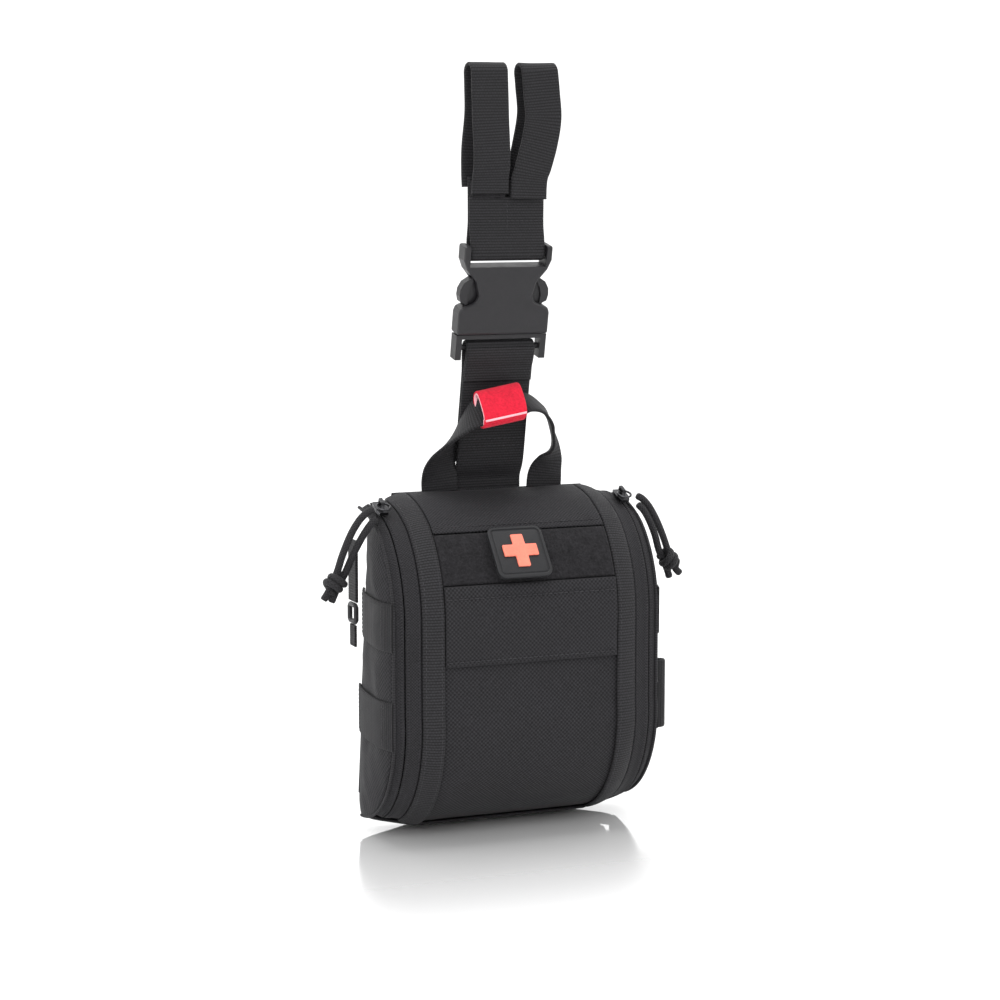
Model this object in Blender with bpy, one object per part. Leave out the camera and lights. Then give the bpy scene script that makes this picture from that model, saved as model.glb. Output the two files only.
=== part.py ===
"""Drop leg first aid pouch with a belt hanger.

A rounded clamshell pouch hangs on a wide strap. The strap ends in a side-release buckle, and
two narrow webbing loops above the buckle close round a belt. The front of the pouch is a cover
that drops forward about the base when the two side zips are run down.

Lengths in this file are millimetres. Two coordinate systems are used:
  the pouch system: X to the right, Y to the back, Z up, with Y = 0 near the front;
  the strap system: the same axes tilted with the strap, with its origin on the buckle's web bar.
The finished model's origin is the centre of the belt passage.
"""

import math

import bmesh
import bpy
from mathutils import Euler, Matrix, Vector

MM = 0.001

# ---------------------------------------------------------------- driving dimensions
POUCH_BACK = 46.0          # rear face of the back panel
POUCH_DEPTH = 64.0         # radius of the top and bottom arcs, and depth of the pouch
TOP_ARC_Z = 105.0          # centre height of the top arc
BASE_ARC_Z = 54.0          # centre height of the bottom arc
FACE_HALF = 48.0           # half width of the plain front
BAND_HALF = 59.2           # outer edge of the ribbed band
ZIP_HALF = 68.0            # centre line of the side zips
SEAM_HALF = 73.2           # seam between the zip tape and the gusset
SIDE_HALF = 75.6           # outside of the gussets
TAB_TOP = 141.0            # top of the thigh strap tab at the rear left edge
GAP = 0.4                  # air between touching layers

BELT_CENTRE = Vector((0.0, 16.0, 362.0))
BELT_SLOT = 8.0            # passage thickness
BELT_TOP = 385.5
LOOP_WIDTH = 20.0          # belt loop webbing
LOOP_PLY = 1.6
LOOP_SPACE = 1.2           # gap between the two loops

BUCKLE_BAR = Vector((0.0, 20.0, 291.0))
STRAP_TILT = 12.0          # degrees from the vertical
BAR_RADIUS = 1.6
BUCKLE_HALF = 25.3
BUCKLE_THICK = 10.5
BUCKLE_FOOT = -42.4        # lower end of the socket, in the strap system
MALE_BAR_Z = -50.0         # web bar of the plug, in the strap system
STRAP_HALF = 19.0
STRAP_PLY = 1.8

HANDLE_WIDTH = 20.0
GRIP_WIDTH = 24.0
GRIP_HALF_LENGTH = 13.0
PALS_HEIGHT = 25.0
PALS_CENTRES = (104.0, 53.0)
CORD_RADIUS = 1.9
PATCH_SIZE = 30.0
PATCH_ANGLE = 58.0         # place of the patch round the top arc, from the vertical
PATCH_X = -3.0
SLIDER_ANGLE = 22.0        # parked place of the zip sliders round the top arc
ZIP_START = 0.05           # ends of the zip tapes along the outline
ZIP_END = 2.74
HINGE_Y = 36.0             # fold line between the cover and the base strip
HINGE_Z = -9.0

SIDES = (("left", -1.0), ("right", 1.0))

COLOURS = {
    "cordura": ((0.022, 0.021, 0.024), 0.85, 0.0),
    "webbing": ((0.020, 0.019, 0.022), 0.75, 0.0),
    "grosgrain": ((0.028, 0.027, 0.031), 0.80, 0.0),
    "hook_loop": ((0.010, 0.010, 0.011), 0.95, 0.0),
    "zip_tape": ((0.024, 0.022, 0.027), 0.80, 0.0),
    "buckle_plastic": ((0.060, 0.057, 0.066), 0.45, 0.0),
    "metal": ((0.35, 0.35, 0.36), 0.30, 1.0),
    "red_grip": ((0.72, 0.018, 0.035), 0.80, 0.0),
    "pvc_dark": ((0.035, 0.036, 0.040), 0.50, 0.0),
    "pvc_salmon": ((0.80, 0.18, 0.13), 0.50, 0.0),
    "paracord": ((0.016, 0.015, 0.017), 0.80, 0.0),
    "lining": ((0.050, 0.050, 0.055), 0.80, 0.0),
    "stiffener": ((0.30, 0.30, 0.31), 0.50, 0.0),
}

homes = {}
materials = {}


# ---------------------------------------------------------------- scene helpers
def clear_scene():
    for obj in list(bpy.data.objects):
        bpy.data.objects.remove(obj, do_unlink=True)


def make_materials():
    for name, (colour, roughness, metallic) in COLOURS.items():
        mat = bpy.data.materials.new(name)
        mat.use_nodes = True
        shader = mat.node_tree.nodes["Principled BSDF"]
        shader.inputs["Base Color"].default_value = (*colour, 1.0)
        shader.inputs["Roughness"].default_value = roughness
        shader.inputs["Metallic"].default_value = metallic
        mat.diffuse_color = (*colour, 1.0)
        materials[name] = mat


def home(name, origin, parent=None, tilt=0.0):
    """An empty on a joint's axis. A tilted one starts a new system with its origin there."""
    empty = bpy.data.objects.new(name, None)
    bpy.context.collection.objects.link(empty)
    origin = Vector(origin)
    start = BELT_CENTRE
    if parent:
        empty.parent, start = homes[parent]
    empty.location = (origin - start) * MM
    empty.rotation_euler = Euler((math.radians(tilt), 0.0, 0.0))
    homes[name] = (empty, Vector() if tilt else origin)


def add(name, bm, where, mat, smooth=None):
    """Turn a bmesh, in millimetres, into a named object under the empty it moves with."""
    empty, origin = homes[where]
    bmesh.ops.recalc_face_normals(bm, faces=bm.faces)
    bm.transform(Matrix.Scale(MM, 4) @ Matrix.Translation(-origin))
    mesh = bpy.data.meshes.new(name)
    bm.to_mesh(mesh)
    bm.free()
    obj = bpy.data.objects.new(name, mesh)
    bpy.context.collection.objects.link(obj)
    obj.parent = empty
    mesh.materials.append(materials[mat])
    if smooth:
        mesh.shade_smooth()
        mesh.set_sharp_from_angle(angle=math.radians(smooth))
    return obj


def cut(target, bm, where, operation="DIFFERENCE"):
    """Cut or join a helper solid into a named object, and keep the helper as a wire guide."""
    helper = add(target.name + "_guide", bm, where, "stiffener")
    helper.hide_render = True
    helper.display_type = "WIRE"
    modifier = target.modifiers.new("shape", "BOOLEAN")
    modifier.operation = operation
    modifier.solver = "EXACT"
    modifier.object = helper


def bevel(obj, width, segments=2, angle=40.0):
    modifier = obj.modifiers.new("edges", "BEVEL")
    modifier.width = width * MM
    modifier.segments = segments
    modifier.limit_method = "ANGLE"
    modifier.angle_limit = math.radians(angle)


# ---------------------------------------------------------------- shape helpers
def loft(rings):
    """A closed solid through rings of points, with flat ends."""
    bm = bmesh.new()
    rows = [[bm.verts.new(p) for p in ring] for ring in rings]
    count = len(rows[0])
    for a, b in zip(rows, rows[1:]):
        for i in range(count):
            j = (i + 1) % count
            bm.faces.new((a[i], a[j], b[j], b[i]))
    bm.faces.new(rows[0])
    bm.faces.new(list(reversed(rows[-1])))
    return bm


def prism(outline, axis, low, high):
    """A flat outline given a thickness along X or Y."""
    if axis == "X":
        return loft([[(at, a, b) for a, b in outline] for at in (low, high)])
    return loft([[(a, at, b) for a, b in outline] for at in (low, high)])


def box(x, y, z):
    outline = ((x[0], z[0]), (x[1], z[0]), (x[1], z[1]), (x[0], z[1]))
    return prism(outline, "Y", *y)


def rod(centre, radius, x_half, sides=12):
    rings = []
    for x in (-x_half, x_half):
        ring = []
        for i in range(sides):
            turn = math.tau * i / sides
            ring.append((centre[0] + x, centre[1] + radius * math.cos(turn),
                         centre[2] + radius * math.sin(turn)))
        rings.append(ring)
    return loft(rings)


def spline(points, steps=6):
    """A smooth curve through the points, as a finer list of points."""
    points = [Vector(p) for p in points]
    ends = [2 * points[0] - points[1]] + points + [2 * points[-1] - points[-2]]
    fine = []
    for a, b, c, d in zip(ends, ends[1:], ends[2:], ends[3:]):
        for i in range(steps):
            t = i / steps
            fine.append(0.5 * (2 * b + (c - a) * t + (2 * a - 5 * b + 4 * c - d) * t * t
                               + (3 * b - a - 3 * c + d) * t * t * t))
    return fine + [points[-1]]


def arc(centre, radius, start, end, steps):
    """Points (y, z) on an arc; angles in degrees from the +Y direction towards +Z."""
    points = []
    for i in range(steps + 1):
        turn = math.radians(start + (end - start) * i / steps)
        points.append((centre[0] + radius * math.cos(turn), centre[1] + radius * math.sin(turn)))
    return points


def strip(path, thickness, x_low, x_high):
    """Webbing that runs along a path of (y, z) points and is flat across X."""
    path = [Vector(p) for p in path]
    rings = []
    for i, point in enumerate(path):
        before = path[max(i - 1, 0)]
        after = path[min(i + 1, len(path) - 1)]
        run = (after - before).normalized()
        side = Vector((-run.y, run.x)) * thickness / 2
        a, b = point + side, point - side
        rings.append([(x_low, a.x, a.y), (x_high, a.x, a.y), (x_high, b.x, b.y), (x_low, b.x, b.y)])
    return loft(rings)


def outline_point(inset, along):
    """A point (y, z) on the pouch's side outline. along: 0 top rear, 1 front top, 2 front foot, 3 base."""
    radius = POUCH_DEPTH - inset
    if along <= 1.0:
        turn = math.radians(90.0 * along)
        return POUCH_BACK - radius * math.sin(turn), TOP_ARC_Z + radius * math.cos(turn)
    if along >= 2.0:
        turn = math.radians(90.0 * (3.0 - along))
        return POUCH_BACK - radius * math.sin(turn), BASE_ARC_Z - radius * math.cos(turn)
    return POUCH_BACK - radius, TOP_ARC_Z + (BASE_ARC_Z - TOP_ARC_Z) * (along - 1.0)


def along_at_height(z):
    """Where a height on the top arc lies along the outline."""
    return math.degrees(math.acos((z - TOP_ARC_Z) / POUCH_DEPTH)) / 90.0


def along_steps(start, end):
    """Even steps along the outline, with the ends of the arcs always included."""
    stops = [start] + [s for s in (1.0, 2.0) if start < s < end] + [end]
    steps = []
    for a, b in zip(stops, stops[1:]):
        count = 1 if a >= 1.0 and b <= 2.0 else max(2, math.ceil((b - a) * 10))
        steps += [a + (b - a) * i / count for i in range(count)]
    return steps + [end]


def slope(x):
    """How far the surface lies inside the front outline at a distance from the middle."""
    x = abs(x)
    stops = ((0.0, 0.0), (FACE_HALF, 0.0), (60.0, 3.0), (ZIP_HALF, 5.0), (SEAM_HALF, 7.2), (90.0, 20.0))
    for (x1, e1), (x2, e2) in zip(stops, stops[1:]):
        if x <= x2:
            return e1 + (e2 - e1) * (x - x1) / (x2 - x1)
    return stops[-1][1]


def panel(x_stops, depth, thickness, start, end):
    """A fabric panel that follows the rounded outline, between two places along it."""
    rings = []
    for along in along_steps(start, end):
        ring = [(x, *outline_point(slope(x) + depth, along)) for x in x_stops]
        ring += [(x, *outline_point(slope(x) + depth + thickness, along)) for x in reversed(x_stops)]
        rings.append(ring)
    return loft(rings)


def rounded_rectangle(x_low, x_high, z_low, z_high, radius, steps=4):
    points = []
    corners = ((x_high, z_high, 0), (x_low, z_high, 90), (x_low, z_low, 180), (x_high, z_low, 270))
    for x, z, start in corners:
        cx = x - math.copysign(radius, x - (x_low + x_high) / 2)
        cz = z - math.copysign(radius, z - (z_low + z_high) / 2)
        for i in range(steps + 1):
            turn = math.radians(start + 90.0 * i / steps)
            points.append((cx + radius * math.cos(turn), cz + radius * math.sin(turn)))
    return points


# ---------------------------------------------------------------- belt hanger
def loop_span(side):
    inner = LOOP_SPACE / 2
    return tuple(sorted((side * inner, side * (inner + LOOP_WIDTH))))


def build_hanger():
    rear_ply = BELT_CENTRE.y + BELT_SLOT / 2 + LOOP_PLY / 2 + 0.2
    front_ply = rear_ply - LOOP_PLY - GAP
    bar_y, bar_z = BUCKLE_BAR.y, BUCKLE_BAR.z
    wrap = BAR_RADIUS + 0.8 + LOOP_PLY / 2
    path = [(rear_ply, BELT_TOP), (rear_ply, bar_z + 24), (rear_ply + 0.2, bar_z + 15),
            (bar_y + wrap - 0.4, bar_z + 7)]
    path += arc((bar_y, bar_z), wrap, 10, -190, 10)
    path += [(bar_y - wrap + 0.9, bar_z + 7), (front_ply - 0.1, bar_z + 14), (front_ply, bar_z + 24)]
    for name, side in SIDES:
        low, high = loop_span(side)
        add(f"hanger_web_{name}", strip(path, LOOP_PLY, low, high), "hanger", "webbing", 35)
        build_belt_flap(name, low, high)


def build_belt_flap(name, low, high):
    """The end that folds over the belt and grips the web below it with hook and loop."""
    front = BELT_CENTRE.y - BELT_SLOT / 2 - LOOP_PLY / 2 - 0.2
    rear = BELT_CENTRE.y + BELT_SLOT / 2 + LOOP_PLY / 2 + 0.2
    middle = (front + rear) / 2
    crown = BELT_TOP + 0.6
    lap = BELT_CENTRE.y - 0.2
    path = [(rear, crown)]
    path += [(middle + (rear - middle) * math.cos(t), crown + 4.6 * math.sin(t))
             for t in [math.pi * i / 8 for i in range(1, 9)]]
    path += [(front, 360.0), (front, 338.0), (front + 1.4, 334.0), (lap - 1.2, 330.5),
             (lap, 327.0), (lap, 319.0)]
    home(f"flap_{name}_axis", (0.0, rear + LOOP_PLY / 2 + 0.4, BELT_TOP + 0.3))
    add(f"belt_flap_{name}", strip(path, LOOP_PLY, low, high), f"flap_{name}_axis", "webbing", 35)
    hook_y = lap + LOOP_PLY / 2 + 0.3
    add(f"flap_hook_{name}", box((low + 1, high - 1), (hook_y, hook_y + 0.8), (319.6, 326.4)),
        f"flap_{name}_axis", "hook_loop")
    loop_y = rear - LOOP_PLY / 2 - 0.3
    add(f"flap_loop_{name}", box((low + 1, high - 1), (hook_y + 1.1, loop_y), (318.0, 328.0)),
        "hanger", "hook_loop")


# ---------------------------------------------------------------- side-release buckle
def build_socket():
    half = ((24.4, 4.5), (24.4, -3.0), (22.3, -8.0), (17.0, -14.5), (15.2, -21.5), (16.4, -25.0),
            (24.4, -28.3), (BUCKLE_HALF, -31.0), (BUCKLE_HALF, BUCKLE_FOOT))
    outline = list(half) + [(-x, z) for x, z in reversed(half)]
    thick = BUCKLE_THICK / 2
    socket = add("buckle_socket", prism(outline, "Y", -thick, thick), "buckle", "buckle_plastic", 40)
    bevel(socket, 1.2)
    cut(socket, box((-21.2, 21.2), (-9, 9), (-6.3, 12.0)), "buckle")
    cut(socket, box((-21.8, 21.8), (-3.3, 3.3), (-60.0, -11.0)), "buckle")
    cut(socket, rod((0, 0, 0), BAR_RADIUS, 22.6), "buckle", "UNION")


def build_plug():
    crosspiece = box((-21.3, 21.3), (-2.8, 2.8), (-44.3, -41.5))
    frame = add("buckle_plug", crosspiece, "plug", "buckle_plastic", 40)
    cut(frame, box((-4.0, 4.0), (-2.2, 2.2), (-42.5, -17.0)), "plug", "UNION")
    cut(frame, box((-25.2, 25.2), (-3.6, 3.6), (-45.0, BUCKLE_FOOT - GAP)), "plug", "UNION")
    for side in (-1, 1):
        edges = sorted((side * 21.9, side * 25.2))
        cut(frame, box(edges, (-3.6, 3.6), (-56.0, -44.0)), "plug", "UNION")
    cut(frame, rod((0, 0, MALE_BAR_Z), BAR_RADIUS, 23.0), "plug", "UNION")


def build_latches():
    """Springy arms that run up inside the socket and show as buttons at its waist."""
    outer = ((20.9, -41.0), (20.9, -28.0), (21.8, -26.2), (24.0, -25.2), (24.8, -22.0), (24.5, -18.5),
             (22.6, -15.0), (18.5, -12.4))
    inner = ((17.6, -14.4), (19.6, -18.0), (20.6, -22.0), (20.0, -26.5), (18.4, -30.0), (18.4, -41.0))
    for name, side in SIDES:
        home(f"latch_{name}_axis", (side * 19.6, 0.0, -40.4), "plug")
        outline = [(side * x, z) for x, z in outer + inner]
        add(f"latch_arm_{name}", prism(outline, "Y", -2.6, 2.6), f"latch_{name}_axis", "buckle_plastic", 40)


# ---------------------------------------------------------------- drop strap
def to_pouch(y, z):
    """A point of the strap system's middle plane, as (y, z) of the pouch system."""
    tilt = math.radians(STRAP_TILT)
    return (BUCKLE_BAR.y + y * math.cos(tilt) - z * math.sin(tilt),
            BUCKLE_BAR.z + y * math.sin(tilt) + z * math.cos(tilt))


def build_drop_strap():
    ply = STRAP_PLY / 2 + GAP / 2
    wrap = BAR_RADIUS + 0.5 + STRAP_PLY / 2
    local = [(ply, -113.0), (ply, -90.0), (ply, -66.0), (ply + 0.6, -60.0), (wrap - 0.4, -55.0)]
    local += arc((0.0, MALE_BAR_Z), wrap, -10, 190, 10)
    local += [(-wrap + 0.4, -55.0), (-ply - 0.6, -60.0), (-ply, -66.0), (-ply, -90.0), (-ply, -112.0)]
    path = [to_pouch(*p) for p in local]
    sewn = POUCH_BACK + 0.4 + STRAP_PLY / 2
    path += [(sewn - 0.9, 173.0), (sewn, 169.0), (sewn, 150.0), (sewn, 104.0)]
    add("drop_strap", strip(path, STRAP_PLY, -STRAP_HALF, STRAP_HALF), "pouch", "webbing", 35)


# ---------------------------------------------------------------- pouch body
def gusset_outline():
    inset = 7.9
    points = [outline_point(inset, along) for along in along_steps(0.04, 2.96)]
    rear = POUCH_BACK - 2.4
    return [(rear, points[0][1])] + points + [(rear, points[-1][1])]


def build_body():
    back = rounded_rectangle(-SIDE_HALF, SIDE_HALF, HINGE_Z - 1.0, 167.6, 14.0)
    add("back_panel", prism(back, "Y", POUCH_BACK - 2.0, POUCH_BACK), "pouch", "cordura")
    board = rounded_rectangle(-69.0, 69.0, 3.0, 156.0, 10.0)
    add("back_stiffener", prism(board, "Y", POUCH_BACK - 4.0, POUCH_BACK - 2.4), "pouch", "stiffener")
    organiser = rounded_rectangle(-66.0, 66.0, 8.0, 150.0, 8.0)
    add("organiser_panel", prism(organiser, "Y", POUCH_BACK - 5.6, POUCH_BACK - 4.4), "pouch", "lining")
    pad = rounded_rectangle(-56.0, 56.0, 4.0, 98.0, 12.0)
    add("thigh_pad", prism(pad, "Y", POUCH_BACK + 0.4, POUCH_BACK + 4.0), "pouch", "lining")
    base = add("base_strip", box((-SEAM_HALF, SEAM_HALF), (HINGE_Y + 1.6, POUCH_BACK - 2.4),
                                 (HINGE_Z - 1.0, HINGE_Z + 1.0)), "pouch", "cordura")
    for side in (-1, 1):
        wing = sorted((side * (BAND_HALF + 0.4), side * SEAM_HALF))
        slope_down = ((22.0, -3.6), (22.0, -5.6),
                      (HINGE_Y + 3.0, HINGE_Z - 0.9), (HINGE_Y + 3.0, HINGE_Z + 0.9))
        cut(base, prism(slope_down, "X", *wing), "pouch", "UNION")
    for name, side in SIDES:
        build_elastic_loop(f"elastic_loop_{name}", side * 26.0)
    outline = gusset_outline()
    for name, side in SIDES:
        inside, outside = SIDE_HALF - 2.0, SIDE_HALF
        edges = sorted((side * inside, side * outside))
        add(f"gusset_{name}", prism(outline, "X", *edges), "pouch", "cordura")
        tape = sorted((side * (ZIP_HALF + 0.3), side * SEAM_HALF))
        tape_shape = panel(tape, 1.0, 1.0, ZIP_START, ZIP_END)
        add(f"zip_tape_body_{name}", tape_shape, "pouch", "zip_tape", 35)
        coil = sorted((side * (ZIP_HALF + 0.3), side * (ZIP_HALF + 1.8)))
        coil_shape = panel(coil, 2.4, 1.3, ZIP_START + 0.02, ZIP_END - 0.02)
        add(f"zip_coil_body_{name}", coil_shape, "pouch", "zip_tape", 35)
        build_pals_rows(name, side)
    add("thigh_loop_right", thigh_loop(), "thigh_loop_axis", "webbing", 35)
    build_thigh_tab()


def build_elastic_loop(name, x):
    """A low elastic arch sewn on the organiser panel, where a dressing or a bottle stands."""
    face = POUCH_BACK - 5.6 - 0.4
    half, rise, steps = 20.0, 9.0, 8
    profile = [(x - half - 2.0, face - 0.6), (x - half, face - 1.0)]
    for i in range(1, steps):
        share = i / steps
        profile.append((x - half + 2 * half * share, face - 1.0 - rise * math.sin(math.pi * share)))
    profile += [(x + half, face - 1.0), (x + half + 2.0, face - 0.6)]
    low, high = 70.0, 95.0
    rings = []
    for px, py in profile:
        rings.append([(px, py - 0.5, low), (px, py + 0.5, low), (px, py + 0.5, high), (px, py - 0.5, high)])
    add(name, loft(rings), "pouch", "webbing", 35)


def build_pals_rows(name, side):
    """Two rows of attachment webbing across the gusset."""
    for row, centre in zip(("upper", "lower"), PALS_CENTRES):
        outside = sorted((side * (SIDE_HALF + 0.4), side * (SIDE_HALF + 1.9)))
        low, high = centre - PALS_HEIGHT / 2, centre + PALS_HEIGHT / 2
        add(f"pals_{row}_{name}", box(outside, (-9.0, POUCH_BACK - 0.5), (low, high)), "pouch", "webbing")


def thigh_loop():
    """Folded webbing at the rear right edge, where the thigh strap passes."""
    y = POUCH_BACK + 0.4
    route = [(62.0, y + 0.8), (76.0, y + 0.8), (88.0, y - 0.6), (100.0, y - 1.6),
             (104.6, y - 0.4), (106.0, y + 2.0), (104.4, y + 4.2), (99.0, y + 4.6),
             (86.0, y + 4.2), (72.0, y + 3.2), (63.0, y + 3.0)]
    rings = []
    fine = spline([(a, b, 0.0) for a, b in route], 3)
    for i, point in enumerate(fine):
        run = (fine[min(i + 1, len(fine) - 1)] - fine[max(i - 1, 0)]).normalized()
        side = Vector((-run.y, run.x, 0.0)) * 0.75
        rings.append([(*(point + side).xy, 27.0), (*(point - side).xy, 27.0),
                      (*(point - side).xy, 65.0), (*(point + side).xy, 65.0)])
    return loft(rings)


def build_thigh_tab():
    """Webbing tab at the rear left edge with a small ring for the thigh strap's other end."""
    x, y = -SIDE_HALF - 1.2, POUCH_BACK
    tab = box((x - 0.8, x + 0.8), (y + 0.4, y + 13.0), (108.0, TAB_TOP))
    add("thigh_tab_left", tab, "tab_axis", "webbing")
    block = box((x - 1.4, x + 1.4), (y + 0.4, y + 14.0), (96.0, 107.4))
    ring = add("thigh_ring_left", block, "tab_axis", "buckle_plastic")
    cut(ring, box((x - 3, x + 3), (y + 3.0, y + 11.4), (99.0, 104.4)), "tab_axis")
    stub = box((x - 0.7, x + 0.7), (y + 3.0, y + 11.4), (84.0, 95.6))
    add("thigh_web_left", stub, "tab_axis", "webbing")


# ---------------------------------------------------------------- cover
def build_cover():
    wide = (-BAND_HALF, -FACE_HALF, FACE_HALF, BAND_HALF)
    foot = 3.0 - math.degrees(math.asin((POUCH_BACK - HINGE_Y + 0.9) / POUCH_DEPTH)) / 90.0
    add("front_panel", panel(wide, 2.6, 1.6, 0.045, foot), "cover", "cordura", 35)
    face = (-FACE_HALF + 0.4, FACE_HALF - 0.4)
    seam = along_at_height(150.0)
    loop_foot = along_at_height(125.0)
    add("top_panel", panel(face, 0.9, 1.3, 0.045, seam), "cover", "cordura", 35)
    add("loop_panel", panel(face, 1.0, 1.2, seam + 0.008, loop_foot), "cover", "hook_loop", 35)
    add("pocket_panel", panel(face, 0.2, 2.0, loop_foot + 0.008, 1.43), "cover", "cordura", 35)
    for name, side in SIDES:
        band = sorted((side * (FACE_HALF + 0.1), side * BAND_HALF))
        add(f"ribbed_band_{name}", panel(band, 0.6, 1.6, 0.045, 2.78), "cover", "grosgrain", 35)
        tape = sorted((side * (BAND_HALF + 0.4), side * (ZIP_HALF - 0.3)))
        tape_shape = panel(tape, 1.0, 1.0, ZIP_START, ZIP_END)
        add(f"zip_tape_cover_{name}", tape_shape, "cover", "zip_tape", 35)
        coil = sorted((side * (ZIP_HALF - 1.8), side * (ZIP_HALF - 0.3)))
        coil_shape = panel(coil, 2.4, 1.3, ZIP_START + 0.02, ZIP_END - 0.02)
        add(f"zip_coil_cover_{name}", coil_shape, "cover", "zip_tape", 35)
    inner = (-50.0, 50.0)
    add("inner_mesh_pocket", panel(inner, 5.4, 0.8, 1.1, 2.3), "cover", "lining", 35)


def arc_frame(angle, inset):
    """Point, outward direction and forward direction at a place round the top arc, in the (y, z) plane."""
    turn = math.radians(angle)
    radius = POUCH_DEPTH - inset
    point = Vector((0.0, POUCH_BACK - radius * math.sin(turn), TOP_ARC_Z + radius * math.cos(turn)))
    outward = Vector((0.0, -math.sin(turn), math.cos(turn)))
    forward = Vector((0.0, -math.cos(turn), -math.sin(turn)))
    return point, outward, forward


def build_patch():
    """A moulded patch with a raised plus sign, held on the loop panel by its hook back."""
    half = math.degrees(PATCH_SIZE / 2 / POUCH_DEPTH) / 90.0
    middle = PATCH_ANGLE / 90.0
    sides = (PATCH_X - PATCH_SIZE / 2, PATCH_X + PATCH_SIZE / 2)
    add("patch_hook", panel(sides, -0.3, 0.9, middle - half, middle + half), "patch", "hook_loop", 35)
    add("patch_base", panel(sides, -2.8, 2.1, middle - half, middle + half), "patch", "pvc_dark", 35)
    arm, width = 9.0, 3.1
    point, outward, forward = arc_frame(PATCH_ANGLE, -2.8 - 0.35)
    shape = ((width, arm), (width, width), (arm, width), (arm, -width), (width, -width), (width, -arm),
             (-width, -arm), (-width, -width), (-arm, -width),
             (-arm, width), (-width, width), (-width, arm))
    rings = []
    for lift in (0.0, 0.9):
        rings.append([point + Vector((PATCH_X + x, 0, 0)) + forward * v + outward * lift for x, v in shape])
    add("patch_plus", loft(rings), "patch", "pvc_salmon")


# ---------------------------------------------------------------- zip sliders and pulls
PULL_ROUTES = {
    "left": ([(-74.2, 0.8, 0.4), (-78.0, 0.6, -1.0), (-82.4, 0.3, -5.0), (-87.0, 0.0, -12.0),
              (-91.4, 0.0, -22.0), (-94.2, 0.0, -30.2)],
             [(-73.6, -1.8, -3.8), (-77.4, -2.0, -7.4), (-81.6, -1.8, -13.4), (-85.8, -0.8, -21.6),
              (-89.6, 0.4, -30.8)]),
    "right": ([(74.2, 0.8, 0.4), (77.6, 0.6, -1.6), (81.4, 0.3, -6.0), (85.6, 0.0, -13.4),
               (89.4, 0.0, -22.0), (92.0, 0.0, -29.0)],
              [(73.6, -1.8, -3.8), (77.2, -2.0, -7.6), (80.8, -1.8, -13.8), (84.4, -0.8, -21.6),
               (87.2, 0.4, -29.6)]),
}
KNOTS = {"left": Vector((-95.4, 0.0, -36.2)), "right": Vector((92.8, 0.0, -35.0))}
KNOT_REACH = Vector((6.6, 5.0, 5.4))
TAILS = {
    "left": ([(-99.8, -0.4, -41.4), (-102.6, -0.6, -45.6), (-104.2, -0.8, -49.4)],
             [(-95.8, 0.6, -42.4), (-97.8, 0.8, -47.2), (-99.6, 1.0, -51.6)]),
    "right": ([(96.6, -0.4, -40.6), (98.6, -0.6, -43.4), (100.2, -0.8, -46.0)],
              [(92.6, 0.6, -41.2), (93.6, 0.8, -44.4), (94.8, 1.0, -47.6)]),
}


def tube(name, points, where):
    """A cord drawn as a round tube with closed ends."""
    empty, origin = homes[where]
    curve = bpy.data.curves.new(name, "CURVE")
    curve.dimensions = "3D"
    curve.bevel_depth = CORD_RADIUS * MM
    curve.bevel_resolution = 2
    curve.use_fill_caps = True
    curve.render_resolution_u = 0
    fine = spline(points, 2)
    line = curve.splines.new("POLY")
    line.points.add(len(fine) - 1)
    for spot, point in zip(line.points, fine):
        spot.co = (*((point - origin) * MM), 1.0)
    curve.materials.append(materials["paracord"])
    obj = bpy.data.objects.new(name, curve)
    bpy.context.collection.objects.link(obj)
    obj.parent = empty


def round_bar(points, radius, sides=8):
    """A round solid along a short list of points."""
    rings = []
    for i, point in enumerate(points):
        run = (points[min(i + 1, len(points) - 1)] - points[max(i - 1, 0)]).normalized()
        across = run.orthogonal().normalized()
        other = run.cross(across)
        turns = [math.tau * k / sides for k in range(sides)]
        rings.append([point + across * radius * math.cos(t) + other * radius * math.sin(t) for t in turns])
    return loft(rings)


def ball(centre, reach):
    bm = bmesh.new()
    bmesh.ops.create_uvsphere(bm, u_segments=12, v_segments=8, radius=1.0)
    bm.transform(Matrix.Translation(centre) @ Matrix.Diagonal((*reach, 1.0)))
    return bm


def ring_solid(centre, out, ahead, radius, wire):
    """A wire ring whose plane holds X and the direction ahead."""
    bm = bmesh.new()
    rows = []
    for i in range(16):
        turn = math.tau * i / 16
        radial = Vector((1, 0, 0)) * math.cos(turn) + ahead * math.sin(turn)
        row = []
        for j in range(6):
            roll = math.tau * j / 6
            reach = radius + wire * math.cos(roll)
            row.append(bm.verts.new(centre + radial * reach + out * wire * math.sin(roll)))
        rows.append(row)
    for a, b in zip(rows, rows[1:] + rows[:1]):
        for j in range(6):
            k = (j + 1) % 6
            bm.faces.new((a[j], a[k], b[k], b[j]))
    return bm


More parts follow.
